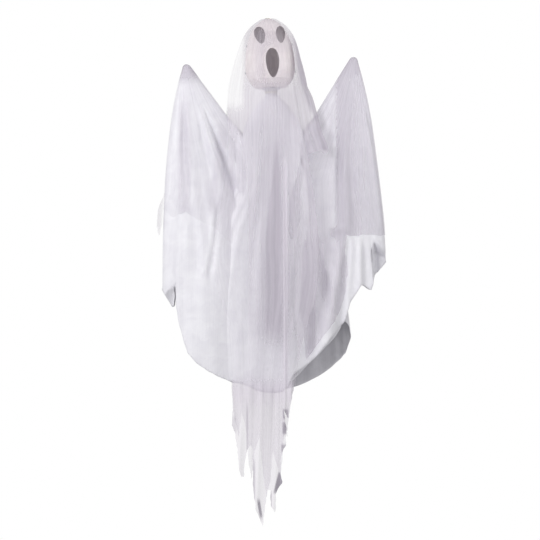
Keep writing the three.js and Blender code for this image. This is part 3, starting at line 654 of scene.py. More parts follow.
# expanded polyethylene sleeve: white, matt, with its cells showing as a pebbled skin
FOAM = Moulded("expanded_polyethylene_foam", "#f1f1ee", "#e4e4e0", 0.9, 3.0, 0.5)
# satin of the robe and wings, and its duller inner side, which floats no threads and whose darker colour is painted
# shade
SATIN = Satin("polyester_satin", "#ecebf0", "#dddbe3")
INNER_SATIN_PAINTED_SHADE = Satin("polyester_satin_inner_side", "#d2d1d7", "#c2c0c7", 0.6)
# gauze of the veil and the wings' tiers, lilac-white; its grey second colour is painted shade, laid on by the cloth's
# shade attribute
GAUZE = Gauze("polyester_gauze", "#ddd6e1", "#a39ca9")
# matt white paint of the studio's floor
FLOOR = Finish("matt_white_floor", "#f4f4f4", "#f4f4f4")


# The veil


@dataclass(frozen=True)
class Half:
    """The front or back half of the veil, whose curves are read at the level below the hang point."""

    facing: Facing
    cover: Curve  # how much it hides, where it lies in one thickness
    # strips where it is denser or thinner, some with painted shade
    layers: list[Layer]
    depth: Curve  # where it lies on the head
    middle: Curve  # depth of its middle below the head
    left: Curve
    right: Curve
    tail: list[tuple[float, float]]  # what it is cut to, as X and Z


SHOULDER_BAND = (Curve((300, -140), (660, -170)), Curve((300, -76), (660, -78)))
DRAWN_EDGE = Curve((335, 24), (450, 17), (515, 8), (700, -8), (950, -9))
FRONT_HALF = Half(
    Facing.FRONT,
    cover=Curve((0, 0.3), (40, 0.22), (180, 0.24), (225, 0.38), (320, 0.4), (890, 0.36), (1000, 0.18), (1060, 0.16),
                (1095, 0.3), (1150, 0.42), (1520, 0.4)),
    layers=[
        # stretched over the face, with painted shade over its middle
        strip(-100, 90, 0.11, (20, 60), (145, 195), (40, 24), 0.0),
        strip(-72, 68, 0.22, (30, 45), (95, 120), (14, 14), 0.0),
        strip(-40, 30, 0.36, (20, 60), (165, 200), (36, 36), 0.4),
        # the flank of the hood, doubled down to the point over the right shoulder, its outer band darkened with painted
        # shade
        strip(24, 118, 0.44, (190, 230), (330, 420), (36, 10), 0.15),
        Layer(Curve((60, 68), (110, 81), (170, 90), (200, 99), (260, 118), (320, 140), (400, 160)),
              Curve((60, 100), (110, 110), (200, 127), (260, 142), (320, 162), (400, 180)),
              0.8, (20, 90), (400, 404), (20, 8), 0.75),
        # the sheer left side, with a shaded band beside the shoulder
        strip(-400, -76, 0.1, (60, 110), (250, 305), (6, 22), 0.0),
        strip(-400, -58, 0.08, (400, 640), (1040, 1110), (6, 5), 0.0),
        Layer(*SHOULDER_BAND, 0.4, (260, 305), (320, 420), (10, 8), 0.1),
        Layer(*SHOULDER_BAND, 0.24, (320, 400), (520, 700), (10, 8), 0.1),
        # drawn together down the middle: a dark band of painted shade, a bright fold left without it, and a gap beside
        # it
        Layer(DRAWN_EDGE, Curve((335, 30), (450, 36), (515, 38), (700, 40), (950, 41)), 0.74, (320, 440), (900, 1010),
              (6, 3), 0.62),
        Layer(Curve((335, 6), (450, -20), (1000, -24)), DRAWN_EDGE, 0.46, (320, 440), (900, 1010), (14, 6), 0.38),
        Layer(Curve((380, 44), (1115, 46)), Curve((380, 57), (1115, 59)), 0.7, (380, 470), (1090, 1130), (3, 5), -0.12),
        strip(62, 110, 0.34, (330, 460), (900, 1010), (8, 30), 0.1),
        Layer(Curve((600, 96), (1100, 86)), Curve((600, 136), (845, 136), (1000, 141)), 0.5, (640, 800), (980, 1080),
              (20, 6), 0.35),
        # bunched where it leaves the robe's hem
        strip(-130, 80, 0.66, (1070, 1108), (1122, 1180), (10, 10), 0.0),
        # dark folds and curled ends in the tail, their darkness painted shade
        Layer(Curve((1430, -34), (1500, -22)), Curve((1430, -25), (1500, -14)), 0.85, (1425, 1445), (1480, 1500),
              (3, 3), 1.1),
        Layer(Curve((1355, 33), (1420, 16)), Curve((1355, 60), (1420, 60)), 0.9, (1350, 1362), (1410, 1422),
              (4, 4), 1.2),
        strip(45, 60, 0.85, (1160, 1172), (1192, 1202), (4, 4), 1.0),
        strip(44, 60, 0.85, (1200, 1210), (1236, 1248), (4, 4), 1.1),
        strip(41, 60, 0.8, (1266, 1274), (1292, 1302), (4, 4), 0.9),
        strip(-130, -92, 0.6, (1175, 1195), (1230, 1245), (8, 8), 0.5),
        strip(7, 12, 0.75, (1405, 1420), (1470, 1490), (3, 3), 0.8),
        strip(-64, -58, 0.65, (1130, 1180), (1290, 1320), (4, 4), 0.7),
        strip(-46, -38, 0.7, (1300, 1340), (1420, 1450), (3, 5), 0.7),
    ],
    depth=Curve((0, 18), (11, 36), (27, 54), (58, 76), (92, 91), (130, 99.4), (172, 105), (205, 106), (285, 107)),
    middle=Curve((285, 107), (640, 111), (1100, 116), (1520, 102)),
    left=Curve((200, -119), (285, -120), (335, -118), (470, -127), (560, -141), (650, -160), (695, -168), (760, -162),
               (850, -140), (950, -116), (1110, -106), (1520, -112)),
    right=Curve((200, 119), (285, 122), (365, 119), (470, 128), (560, 139), (650, 150), (740, 158), (830, 142),
                (950, 104), (1110, 76), (1520, 72)),
    tail=[
        (-300, 60), (-300, -1105), (-106, -1112), (-103, -1165), (-114, -1198), (-98, -1236), (-91, -1281),
        (-86, -1340), (-80, -1368), (-71, -1368), (-68, -1318), (-60, -1285), (-52, -1274), (-45, -1284),
        (-45, -1391), (-36, -1462), (-16, -1516), (-8, -1453), (-2, -1408), (7, -1410), (8, -1456), (22, -1473),
        (24, -1412), (44, -1388), (38, -1361), (41, -1294), (52, -1280), (55, -1226), (47, -1171), (61, -1197),
        (72, -1125), (76, -1110), (104, -950), (142, -830), (158, -740), (150, -650), (139, -560), (128, -470),
        (118, -412), (150, -401), (172, -412), (183, -399), (300, -300), (300, 60),
    ],
)
BACK_HALF = Half(
    Facing.BACK,
    cover=Curve((0, 0.3), (30, 0.42), (1000, 0.42), (1100, 0.36), (1520, 0.36)),
    layers=[
        strip(-400, -74, 0.1, (30, 60), (240, 300), (6, 20), 0.0),
        strip(84, 400, 0.5, (30, 60), (300, 420), (14, 6), 0.2),
        strip(16, 110, 0.5, (190, 225), (330, 420), (24, 14), 0.1),
    ],
    depth=Curve((0, 18), (11, 37), (27, 61), (58, 80), (92, 90), (130, 92), (285, 94)),
    middle=Curve((285, 94), (640, 100), (1100, 116), (1520, 102)),
    left=Curve((200, -119), (285, -126), (420, -140), (640, -158), (800, -150), (950, -130), (1110, -112),
               (1520, -104)),
    right=Curve((200, 119), (285, 130), (420, 142), (640, 158), (800, 146), (950, 112), (1110, 78), (1520, 70)),
    tail=[
        (-300, 60), (-300, -1090), (-112, -1096), (-106, -1180), (-90, -1262), (-80, -1190), (-66, -1240),
        (-58, -1342), (-50, -1396), (-40, -1300), (-26, -1262), (-16, -1370), (-4, -1448), (8, -1392), (14, -1300),
        (26, -1344), (36, -1386), (44, -1318), (50, -1240), (58, -1262), (64, -1196), (74, -1120), (300, -1090),
        (300, 60),
    ],
)


@dataclass
class Veil:
    """The sheer veil: one long cloth over the crown, slit at the sides for the arms, with a ragged tail."""

    columns: int = 190
    rows: int = 250
    length: float = 1516.0  # of each half, below the hang point
    slit: float = 205.0  # level at which the front and back part
    hole: float = 5.7  # cut for the eyelet's barrel
    flange: float = 17.0  # how far it lies flat round the eyelet
    seat: float = 1.9  # middle of the cloth under the eyelet's flange
    flat: tuple[float, float] = (0.25, 3.04)
    width: ClassVar[Curve] = Curve((0, 18), (11, 36), (27, 56), (58, 77), (128, 100), (174, 112), (205, 118),
                                   (285, 126))
    edge: ClassVar[Curve] = Curve((200, 6), (285, 60), (420, 82), (640, 96), (900, 104), (1100, 103), (1520, 92))
    # the front half spreads to a point over the right shoulder
    point: ClassVar[Curve] = Curve((205, 0), (240, 13), (285, 24), (340, 40), (400, 60), (900, 60), (1110, 0))
    mouth: ClassVar[tuple[tuple[float, float], tuple[float, float]]] = ((8, 138), (24, 50))  # middle and half-sizes
    shown: ClassVar[list[Pleat]] = [
        # the pleat that crosses the mouth and runs on down to the tail
        Pleat(Curve((20, 6), (92, 21), (254, 21), (350, 33), (425, 42), (1115, 50), (1300, 40)), 4.4, 3.4, (10, 120)),
        Pleat(Curve((254, -51), (374, -60), (524, -63), (650, -75), (845, -78), (1115, -84)), 8, 7, (200, 360)),
        Pleat(Curve((89, 60), (224, 75), (356, 99), (425, 117), (551, 140), (700, 146)), 6, 7, (60, 260)),
        Pleat(Curve((600, 92), (815, 68), (995, 78), (1115, 68)), 6, 6, (560, 780)),
        Pleat(Curve((120, -80), (250, -98), (420, -112), (640, -122)), 7, 6, (90, 300), (640, 860)),
    ]
    valley: ClassVar[tuple[Curve, Curve, Curve]] = (  # left edge, bottom and right edge of where it is drawn in
        Curve((350, -62), (650, -66), (1115, -70)), Curve((350, 30), (650, 36), (1115, 38)),
        Curve((350, 42), (650, 48), (1115, 52)),
    )
    valley_depth: float = 14.0

    def folds(self, facing: Facing, x: Grid, down: Grid, share: Grid) -> Grid:
        """How far the veil stands out from its plain drape.

        Args:
            facing: The half it hangs on.
            x: X of each point.
            down: Level of each point below the hang point.
            share: Place across the half, from -1 to 1.

        Returns:
            The height of its folds.
        """
        loose = smooth(down, 190, 420)
        if facing is Facing.BACK:
            fine = pleats(share, down, seed=41, count=20, span=(-0.98, 0.98), width=0.024, height=1.8, starts=(60, 500),
                          sway=0.02)
            broad = pleats(share, down, seed=42, count=7, span=(-0.95, 0.95), width=0.1, height=12.0,
                           starts=(150, 420), sway=0.05)
            return fine * mixed(0.3, 1.0, loose) + broad * loose
        fine = pleats(share, down, seed=31, count=15, span=(-0.99, 0.99), width=0.036, height=1.5, starts=(10, 420),
                      sway=0.012)
        drawn = pleats(share, down, seed=32, count=7, span=(-0.97, 0.97), width=0.09, height=5.0, starts=(240, 520),
                       sway=0.03)
        left, bottom, right = [line(down) for line in self.valley]
        sunk = smooth((x - left) / (bottom - left), 0, 1) * (1 - smooth((x - bottom) / (right - bottom), 0, 1))
        total = fine * mixed(0.35, 1.0, loose) + drawn * loose - self.valley_depth * smooth(down, 230, 520) * sunk
        return total + sum(pleat(x, down) for pleat in self.shown) * mixed(0.5, 1.0, loose)

    def panel(self, half: Half) -> Panel:
        """Lays out one half of the veil.

        Args:
            half: The half.

        Returns:
            Its panel, with the columns running round against the clock from above.
        """
        side = half.facing.value
        ring = np.linspace(self.hole, self.flange, 4)
        drops = self.length * np.linspace(0, 1, self.rows) ** 1.3  # closer together on the head
        turn = np.linspace(-math.pi / 2, math.pi / 2, self.columns)[None] * -side
        radius, reach = [np.concatenate([ring, curve(drops)])[:, None] for curve in (self.width, half.depth)]
        down, across = np.broadcast_arrays(np.concatenate([0 * ring, drops])[:, None], np.sin(turn))
        left, right = half.left(down), half.right(down)
        x = mixed(radius * across, (left + right) / 2 + (right - left) / 2 * across, smooth(down, 200, 285))
        if half is FRONT_HALF:
            x = x + self.point(down) * smooth(across, 0.3, 1.0)
        loose = mixed(half.middle(down), self.edge(down), across**2)
        y = side * mixed(reach * np.cos(turn), loose, smooth(down, self.slit, 340))
        base = np.stack([x, y, np.minimum(-self.seat, -down)], axis=-1)
        base = leaned(base, HANG_TILT * np.clip(1 - down / 120, 0, 1))
        joined = 1 - np.abs(across) ** 24  # nothing at the two sides, where the halves meet
        folds = self.folds(half.facing, x, down, across) * smooth(down, 4, 30)
        points = base + outward(base) * (folds * mixed(joined, 1.0, smooth(down, self.slit, self.slit + 80)))[..., None]
        # the tail waves to and fro in depth, in a long wave and a short one
        draws = np.random.default_rng(5 + side)
        for length, amount in ((58.0, 7.0), (27.0, 2.0)):
            wave = np.sin(x / length * 2 * math.pi + down / 90 + draws.uniform(0, 6))
            points[..., 1] += smooth(down, 1000, 1250) * amount * wave
        # its colour has painted shade below the chin, none on the head and little of it in the tail
        shade = PLAIN_SHADE * smooth(down, 150, 420) * (1 - 0.7 * smooth(down, 960, 1060))
        cover, shade = layered(half.layers, x, down, half.cover(down), shade)
        if half is FRONT_HALF:  # stretched thinnest over the mouth
            (middle, level), (wide, tall) = self.mouth
            cover = mixed(cover, 0.12, 1 - smooth(np.hypot((x - middle) / wide, (down - level) / tall), 0.75, 1.2))
        return Panel(points, cover, shade, frayed(half.tail, 9.0, 1.6, 11 + side), self.slit)

    def build(self) -> None:
        veil = sewn_cloth("sheer_veil", self.panel(FRONT_HALF), self.panel(BACK_HALF))
        veil.data.materials.append(GAUZE.material())
        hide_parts("gauze_crown", "gauze_hood", "front_veil_fall", "back_veil_fall")
        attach(veil, "ghost")
        report(veil)


# The robe


@dataclass
class Robe:
    """The opaque satin robe: a bell gathered at the neck, with side slits for the arms."""

    columns: int = 260
    rows: int = 120
    armhole: float = 480.0  # level down to which its sides are slit
    slit_half: float = 15.0  # half-width of the slits
    slit_from: float = 60.0  # X beyond which they are
    reach: float = 240.0  # half-width that its hem is read over
    flat: tuple[float, float] = (1.15, 0.92)
    cut_share: float = 0.62  # what is left of that when the bell is cut
    top: ClassVar[float] = 209.5  # top of the frill over the collar, below the hang point
    square: ClassVar[float] = 0.66  # below 1 the section is flatter in front than an oval
    width: ClassVar[Curve] = Curve((0, 27), (5, 25), (9, 16.4), (18, 16.4), (28, 24), (65, 58), (115, 88), (160, 99),
                                   (182, 102), (262, 107), (342, 135), (430, 178), (590, 226), (758, 248), (930, 256))
    depth: ClassVar[Curve] = Curve((0, 27), (5, 25), (9, 16.4), (18, 16.4), (28, 21), (65, 28), (155, 33), (262, 37),
                                   (342, 39), (430, 42), (590, 52), (758, 60), (930, 66))

    @classmethod
    def surface(cls, x: Grid, fall: Grid) -> Grid:
        """Depth of the robe's plain surface in front of its middle.

        Args:
            x: X of each place.
            fall: Its level below the robe's top.

        Returns:
            The depth, or 0 beside the robe.
        """
        across = np.minimum(np.abs(x) / np.maximum(cls.width(fall), 1.0), 1.0)
        return cls.depth(fall) * (1 - across**2) ** (cls.square / 2)

    def hem(self, x: Grid, share: Grid) -> Grid:
        """Level of the hem below the hang point.

        Args:
            x: X that the hem is read at.
            share: 0 at the back and 1 at the front.

        Returns:
            The level.
        """
        # both rise to the sides; the front's middle hangs as low as the back, and the left corner is lifted
        front = 1094 - 0.206 * x - 0.00272 * x * x
        back = 1117 + 0.068 * x - 0.0025 * x * x
        front = mixed(front, back + 3, smooth(x, -80, -20) * (1 - smooth(x, 34, 80)))
        return mixed(back, front, share) - 24 * smooth(-x, 140, 235)

    def build(self) -> None:
        angle = np.linspace(0, 2 * math.pi, self.columns)[None]
        hem = self.hem(self.reach * np.cos(angle), 0.5 - 0.5 * np.clip(np.sin(angle) * 3, -1, 1))
        v = np.linspace(0, 1, self.rows)[:, None]
        # the frill, the collar and the shoulders take the first rows
        fall = (hem - self.top) * np.where(v < 0.23, v * v, mixed(0.05, 1.0, (v - 0.223) / 0.777))
        turn = np.broadcast_to(angle, fall.shape)
        # 9, 17 and 31 pleats round the skirt, each higher than the next, and 38 gathers under the collar
        wave = 3.6 * np.cos(9 * turn + 0.5 * np.sin(fall / 170)) + 1.8 * np.cos(17 * turn + 1.7 + fall / 310)
        pleat = smooth(fall, 60, 640) * (wave + np.cos(31 * turn + fall / 260))
        gathers = (1 - smooth(fall, 30, 190)) * 0.8 * np.cos(38 * turn)
        # a little flatter over the shoulders
        shoulder = smooth(fall, 40, 130) * (1 - smooth(fall, 240, 420))
        section = np.sign(np.sin(turn)) * np.abs(np.sin(turn)) ** mixed(self.square, 0.6, shoulder)
        points = np.stack([
            (self.width(fall) + 0.6 * pleat + 0.5 * gathers) * np.cos(turn),
            (self.depth(fall) + pleat + gathers) * section,
            -self.top - fall,
        ], axis=-1)
        robe = sewn_cloth("satin_robe_cloth", Panel(leaned(points, HANG_TILT * (1 - smooth(fall, 200, 480)))))
        self.cut_armholes(robe)
        dress_in_satin(robe)
        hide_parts("satin_robe")
        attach(robe, "ghost")
        report(robe)

    def cut_armholes(self, robe: bpy.types.Object) -> None:
        """Takes the faces of the side slits out of the robe.

        Args:
            robe: The robe, before it gets its thickness.
        """
        work = bmesh.new()
        work.from_mesh(robe.data)
        gone = []
        for face in work.faces:
            x, y, z = face.calc_center_median() / MM
            if abs(y) < self.slit_half and abs(x) > self.slit_from and z > -self.armhole:
                gone.append(face)
        bmesh.ops.delete(work, geom=gone, context="FACES")
        work.to_mesh(robe.data)
        work.free()


# The wings


@dataclass(frozen=True)
class Corner:
    """A lower outer corner of a wing that turns away past two creases, one plumb and one slanting."""

    x: float  # counted outwards
    z: float
    slope: float
    slant: float = 1.1  # how steeply the second crease runs down outwards
    plumb: float = 3.0  # how much more sharply it turns past the plumb crease

    def __call__(self, x: Grid, z: Grid) -> Grid:
        """How much thinner the wing gets past both creases."""
        past = x - self.x
        return self.slope * np.maximum(np.minimum(past * self.plumb, self.z - z - self.slant * past), 0.0)


@dataclass
class Wing:
    """Cloth hung over one arm from its hand tip like a ridge tent: a satin lining under a shorter gauze tier.

    X is counted outwards in all its sizes.
    """

    hand: Hand
    reach: float  # how far the outer edge swings out below the hand
    fall: float  # over what fall it does
    hem: list[tuple[float, float]]
    gauze_hem: list[tuple[float, float]]
    inner: list[tuple[float, float]]  # inner edge of the front sheet
    cover: Curve  # how much its gauze hides, by X
    corners: list[Corner]
    groups: list[Pleat]  # folds that the photograph shows, by angle and distance from the hand tip
    # strips where its gauze is denser, some with painted shade
    layers: list[Layer]
    flare: Curve = Curve((0, 0), (1000, 0))  # how far the gauze's outer edge stands off the satin's, by the level down
    flat: tuple[float, float] = (0.34, 1.33)
    gauze_flat: tuple[float, float] = (0.32, 0.8)
    radius: float = 12.1  # of the cloth over the arm
    fullness: float = 58.0  # its half-depth this far below the arm:
    fullness_at: float = 660.0
    tuck: float = 110.0  # over what width the inner edge is drawn in to the robe
    fan: tuple[float, float] = (-68.0, 14.0)  # angles at the hand tip that its folds fan out over, in degrees
    blended: tuple[float, float] = (2.0, 66.0)  # distances below the arm between which it stops following the arm
    crowded: float = 0.55  # how much its columns crowd at the two edges, where it turns sharply
    square: float = 0.42  # below 1 its section has flatter sides than an oval, from this far below the arm:
    square_from: float = 40.0
    nearest: float = 20.0  # X that its inner edge doesn't pass
    columns: int = 190
    rows: int = 150  # below the dome over the arm, which has its own:
    dome_rows: int = 12
    tip: tuple[float, float] = field(init=False)
    shoulder: tuple[float, float] = field(init=False)

    def __post_init__(self) -> None:
        """Reads the arm's two ends from the frame's joints."""
        places = {joint["name"]: joint["pos_m"] for joint in frame["joints"]}
        ends = [places[f"{self.hand.word}_{name}"] for name in ("shoulder", "wing_hang")]
        self.shoulder, self.tip = [(self.hand.value * (x / MM), z / MM) for x, _, z in ends]

    @property
    def angle(self) -> float:
        """Angle of the arm above the horizon."""
        return math.atan2(self.tip[1] - self.shoulder[1], self.tip[0] - self.shoulder[0])

    def drape(self, extent: float, gauze: bool) -> tuple[Grid, Grid, Grid]:
        """Lays out the plain ridge tent.

        Args:
            extent: How far it hangs below the hand tip.
            gauze: True for the gauze tier.

        Returns:
            Its points, the share of each point across the section and its side in Y.
        """
        tip_x, tip_z = self.tip
        lean, radius = self.angle, self.radius
        dome = np.linspace(0.06, 1, self.dome_rows)  # starts beside the pole, where columns would meet
        below = np.concatenate([0 * dome, np.linspace(0, extent, self.rows + 1)[1:]])[:, None]
        domed = np.concatenate([dome, np.ones(self.rows)])[:, None] * math.pi / 2
        z = tip_z + radius * np.cos(domed) - below
        outer = tip_x + radius * np.sin(domed) + self.reach * (1 - np.exp(-below / self.fall))
        outer = outer + (self.flare(below) if gauze else 0.0)
        on_ridge = tip_x - radius * math.sin(lean) - (tip_z + radius * math.cos(lean) - z) / math.tan(lean)
        above = z > tip_z + radius * math.cos(lean)
        inner = np.where(above, tip_x - radius * np.sin(domed), np.maximum(self.nearest, on_ridge))
        t = np.linspace(-1, 1, self.columns)[None]
        even = 1 - np.abs(t)
        share = mixed(even, 0.5 - 0.5 * np.cos(math.pi * even), self.crowded)
        x = mixed(inner, outer, share)
        ridge = tip_z + radius / math.cos(lean) - (tip_x - x) * math.tan(lean)
        sag = np.maximum(0, np.minimum(ridge, tip_z) - z)
        square = mixed(1.0, self.square, np.clip(below / self.square_from, 0, 1))
        section = np.sqrt(np.maximum(0, 1 - (2 * share - 1) ** 2)) ** square
        depth = radius * np.sin(domed) + self.fullness * (sag / self.fullness_at) ** 0.6
        x, y, z, section, half = np.broadcast_arrays(x, np.sign(t) * depth * section, z, section, np.sign(t))
        return np.stack([x, y, z], axis=-1), section, half

    def sheet(self, extent: float, lift: float, gauze: bool, seed: int) -> Grid:
        """Lays out the hung cloth with its folds, which fan out from the hand tip.

        Args:
            extent: How far it hangs below the hand tip.
            lift: How far it lies outside the plain ridge tent.
            gauze: True for the gauze tier, whose extra folds only stand out.
            seed: Seed of its folds.

        Returns:
            Its points in the part's own frame.
        """
        points, section, half = self.drape(extent, gauze)
        side = self.hand.value
        x, z = points[..., 0], points[..., 2]
        away = np.hypot(x - self.tip[0], z - self.tip[1])
        fan = np.degrees(np.arctan2(x - self.tip[0], self.tip[1] - z))
        front, back = [
            pleats(fan, away, start, count=8, span=self.fan, width=3.2, height=15.0, starts=(0, 160), sway=1.6)
            + pleats(fan, away, start + 1, count=15, span=self.fan, width=1.1, height=1.8, starts=(60, 300), sway=0.6)
            for start in (seed, seed + 50)
        ]
        total = np.where(half < 0, front + sum(group(fan, away) for group in self.groups), back)
        if gauze:
            extra = pleats(fan, away, seed + 7, count=14, span=self.fan, width=1.3, height=2.0, starts=(0, 120),
                           sway=0.7, sink=0.0)
            total = total + np.maximum(0, extra)
        total = total * section**1.5 * smooth(away, 30, 240)
        points = self.tucked(points, half) * (side, 1, 1)
        if side < 0:
            points, total = points[:, ::-1], total[:, ::-1]
        # near the shoulder it lies over the arm's knuckle, which is thicker than the arm
        shoulder = np.hypot(points[..., 0] * side - self.shoulder[0], points[..., 2] - self.shoulder[1])
        over_knuckle = 6.0 * (1 - smooth(shoulder, 50, 110))
        return points + outward(points) * (total + lift + over_knuckle)[..., None]

    def tucked(self, points: Grid, half: Grid) -> Grid:
        """Draws the cloth's inner edge in to the robe, which it seems to flow from, and turns its corners.

        Args:
            points: Points of the cloth.
            half: Side in Y of each point.

        Returns:
            The new points.
        """
        x, z, depth = points[..., 0], points[..., 2], np.abs(points[..., 1])
        # 11 mm under the robe's surface, but its front and back stay 8 mm apart
        sunk = np.maximum(Robe.surface(x, -z - Robe.top) - 11.0, 4.0)
        start = Curve(*[(-low, edge) for edge, low in self.inner])(-z)
        near = 1 - (1 - smooth(x, start, start + self.tuck)) * smooth(self.tip[1] - z, 120, 220)
        depth = mixed(np.minimum(sunk, depth), depth, near)
        for corner in self.corners:
            depth = np.maximum(depth - corner(x, z), 3.0)
        return np.stack([x, half * depth, z], axis=-1)

    def outline(self, hem: list[tuple[float, float]], fray: float, seed: int) -> Grid:
        """The outline that a cloth is cut to, from its hem and inner edge.

        Args:
            hem: Its hem, from the inner edge outwards.
            fray: How far its edge is frayed.
            seed: Seed of the fraying.

        Returns:
            The outline in the part's own frame.
        """
        kept = [corner for corner in hem if corner[0] > self.inner[-1][0]]
        corners = [(self.inner[0][0], 60.0), *self.inner, *kept, (hem[-1][0], 60.0)]
        return frayed([(self.hand.value * x, z) for x, z in corners], 12.0, fray, seed)

    def build(self) -> None:
        word = self.hand.word
        satin = self.cloth(f"{word}_satin_wing", self.hem, False)
        dress_in_satin(satin)
        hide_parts(f"{word}_wing_satin")
        gauze = self.cloth(f"{word}_gauze_wing", self.gauze_hem, True)
        gauze.data.materials.append(GAUZE.material())
        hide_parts(f"{word}_wing_gauze")
        for cloth in (satin, gauze):
            self.hang(cloth)
            report(cloth)

    def cloth(self, name: str, hem: list[tuple[float, float]], gauze: bool) -> bpy.types.Object:
        """Makes one of the two cloths.

        Args:
            name: Name of the piece.
            hem: Its hem.
            gauze: True for the gauze tier.

        Returns:
            The cloth, not yet dressed.
        """
        side = self.hand.value
        lift, fray, fray_seed = (1.5, 2.0, 24 + side) if gauze else (0.0, 0.7, 21 + side)
        extent = self.tip[1] - min(z for _, z in hem) + 30  # a little longer, to be cut to the hem
        points = self.sheet(extent, lift, gauze, 60 + side * 5)
        outline = self.outline(hem, fray, fray_seed)
        x, z = side * points[..., 0], points[..., 2]
        plain = self.cover(x), np.full(x.shape, PLAIN_SHADE)
        cover, shade = layered(self.layers, x, -z, *plain, where=points[..., 1] < 0)
        # it hides half where it is bunched round the hand tip
        bunched = 1 - smooth(np.hypot(x - self.tip[0], z - self.tip[1]), 14, 58)
        return sewn_cloth(name, Panel(points, mixed(cover, 0.5, bunched), shade, outline))

    def hang(self, cloth: bpy.types.Object) -> None:
        """Bakes the cloth's place in the world into its mesh.

        Args:
            cloth: The satin or the gauze.
        """
        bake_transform(cloth)


LEFT_WING = Wing(
    Hand.LEFT, reach=64, fall=200,
    hem=[(60, -1094), (105, -1090), (147, -1072), (183, -1052), (213, -1031), (239, -1002), (258, -940), (268, -900),
         (274, -862), (277, -800), (281, -862), (285, -868), (300, -842), (331, -794), (400, -770)],
    gauze_hem=[(60, -640), (110, -676), (160, -628), (205, -608), (246, -582), (284, -600), (314, -566), (322, -634),
               (327, -655), (330, -622), (337, -640), (342, -604), (340, -566), (332, -545), (400, -530)],
    inner=[(52, -400), (52, -1100)],
    cover=Curve((0, 0.06), (310, 0.06), (322, 0.2), (400, 0.2)),
    flare=Curve((0, 0), (370, 0), (430, 16), (640, 20)),
    layers=[
        strip(232, 268, 0.26, (170, 330), (560, 640), (14, 10), 0.15),
        Layer(Curve((330, 120), (590, 135)), Curve((330, 150), (590, 182)), 0.2, (300, 350), (560, 600), (6, 12), 0.2),
    ],
    corners=[Corner(272, -788, 0.8)],
    groups=[
        Pleat(Curve((124, 4), (319, 0.4), (409, -1.3), (514, -3.1)), 2.0, -7, (60, 200), (520, 700)),
        Pleat(Curve((124, -24), (420, -21.5)), 1.5, -14, (90, 240), (400, 460)),
        Pleat(Curve((124, -18), (400, -16.5)), 2.4, 16, (90, 240), (380, 460)),
        Pleat(Curve((430, -12.5), (620, -6.5)), 0.9, -5, (400, 470), (600, 680)),
        Pleat(Curve((300, 2.6), (900, 2.2)), 1.4, 7, (300, 640)),
    ],
)
RIGHT_WING = Wing(
    Hand.RIGHT, reach=102, fall=340,
    hem=[(60, -1068), (153, -1000), (228, -908), (246, -850), (279, -798), (308, -816), (322, -768), (362, -722),
         (420, -700)],
    gauze_hem=[(60, -1040), (150, -972), (205, -896), (226, -842), (236, -768), (231, -700), (233, -650), (290, -652),
               (336, -650), (420, -660)],
    gauze_flat=(0.38, 0.94),
    inner=[(60, -330), (60, -1100)],
    cover=Curve((0, 0.16), (196, 0.18), (212, 0.46), (300, 0.28), (400, 0.24)),
    layers=[
        strip(0, 240, 0.3, (600, 700), TO_THE_HEM, shade=0.15),
        # a dark line, a horizontal shadow, a dark band and a leaf-shaped fold, as painted shade in denser gauze
        strip(213, 226, 0.42, (620, 660), (720, 860), (10, 4), 0.35),
        strip(186, 240, 0.5, (622, 636), (648, 672), (20, 8), 0.4),
        strip(118, 140, 0.5, (800, 900), (985, 1030), (12, 10), 0.4),
        Layer(Curve((730, 158), (780, 160), (860, 157)), Curve((730, 162), (780, 178), (860, 168)), 0.45, (720, 770),
              (820, 870), (8, 8), 0.35),
    ],
    corners=[Corner(316, -668, 2.2, 0.95)],
    groups=[
        Pleat(Curve((100, -28), (240, -13.5), (580, -5.2)), 1.8, 7, (100, 240)),
        Pleat(Curve((150, 12), (420, 10)), 1.6, 9, (100, 240), (600, 760)),
        Pleat(Curve((150, -36), (500, -20)), 2.0, 13, (120, 260), (480, 620)),
        Pleat(Curve((572, -11.2), (657, -7.9), (731, -6.4)), 1.1, -9, (530, 620), (680, 780)),
        Pleat(Curve((500, -1.5), (700, -3)), 0.9, -11, (500, 590)),
        Pleat(Curve((500, 2), (700, 1.5)), 1.0, 11, (500, 580)),
        Pleat(Curve((500, 5.5), (700, 6.5)), 0.8, -9, (500, 580)),
    ],
)


# The hard pieces


@dataclass
class Skeleton:
    """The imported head, neck, yoke and arms, which keep their shapes and get their real finishes."""

    finishes: dict[str, Moulded] = field(default_factory=lambda: {
        "shell": SHELL, "frame_plastic": NYLON, "steel": STEEL, "fibre": FIBRE, "foam": FOAM,
    })
    bright: tuple[str, ...] = ("crown_eyelet", "crown_washer")  # steel in the frame, nickel-plated here

    def build(self) -> None:
        """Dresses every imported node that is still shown."""
        materials = {slot: finish.material() for slot, finish in self.finishes.items()}
        nickel = NICKEL.material()
        for part in frame["record"]["subparts"]:
            node, slot = part["node"], part["material_slot"]
            if slot in materials:
                piece = bpy.data.objects[node]
                piece.data.materials.clear()
                piece.data.materials.append(nickel if node in self.bright else materials[slot])
                log.info("%s: %s", node, slot)


# The studio

MIDDLE_LEVEL = -0.7548  # Z of the photograph's middle, in metres, as all the studio's sizes are


@dataclass(frozen=True)
class Lamp:
    """A square soft lamp."""

    name: str
    watts: float
    place: tuple[float, float, float]
    aim: tuple[float, float, float] = (0.0, 0.0, MIDDLE_LEVEL)
    size: float = 1.8
    spread: float = 180.0  # in degrees

    def hang(self) -> None:
        """Hangs the lamp at its place and turns it to what it lights."""
        data = bpy.data.lights.new(self.name, "AREA")
        data.energy = self.watts
        data.shape = "SQUARE"
        data.size = self.size
        data.spread = math.radians(self.spread)
        lamp = bpy.data.objects.new(self.name, data)
        lamp.location = self.place
        lamp.rotation_euler = (Vector(self.aim) - lamp.location).to_track_quat("-Z", "Y").to_euler()
        bpy.context.scene.collection.objects.link(lamp)


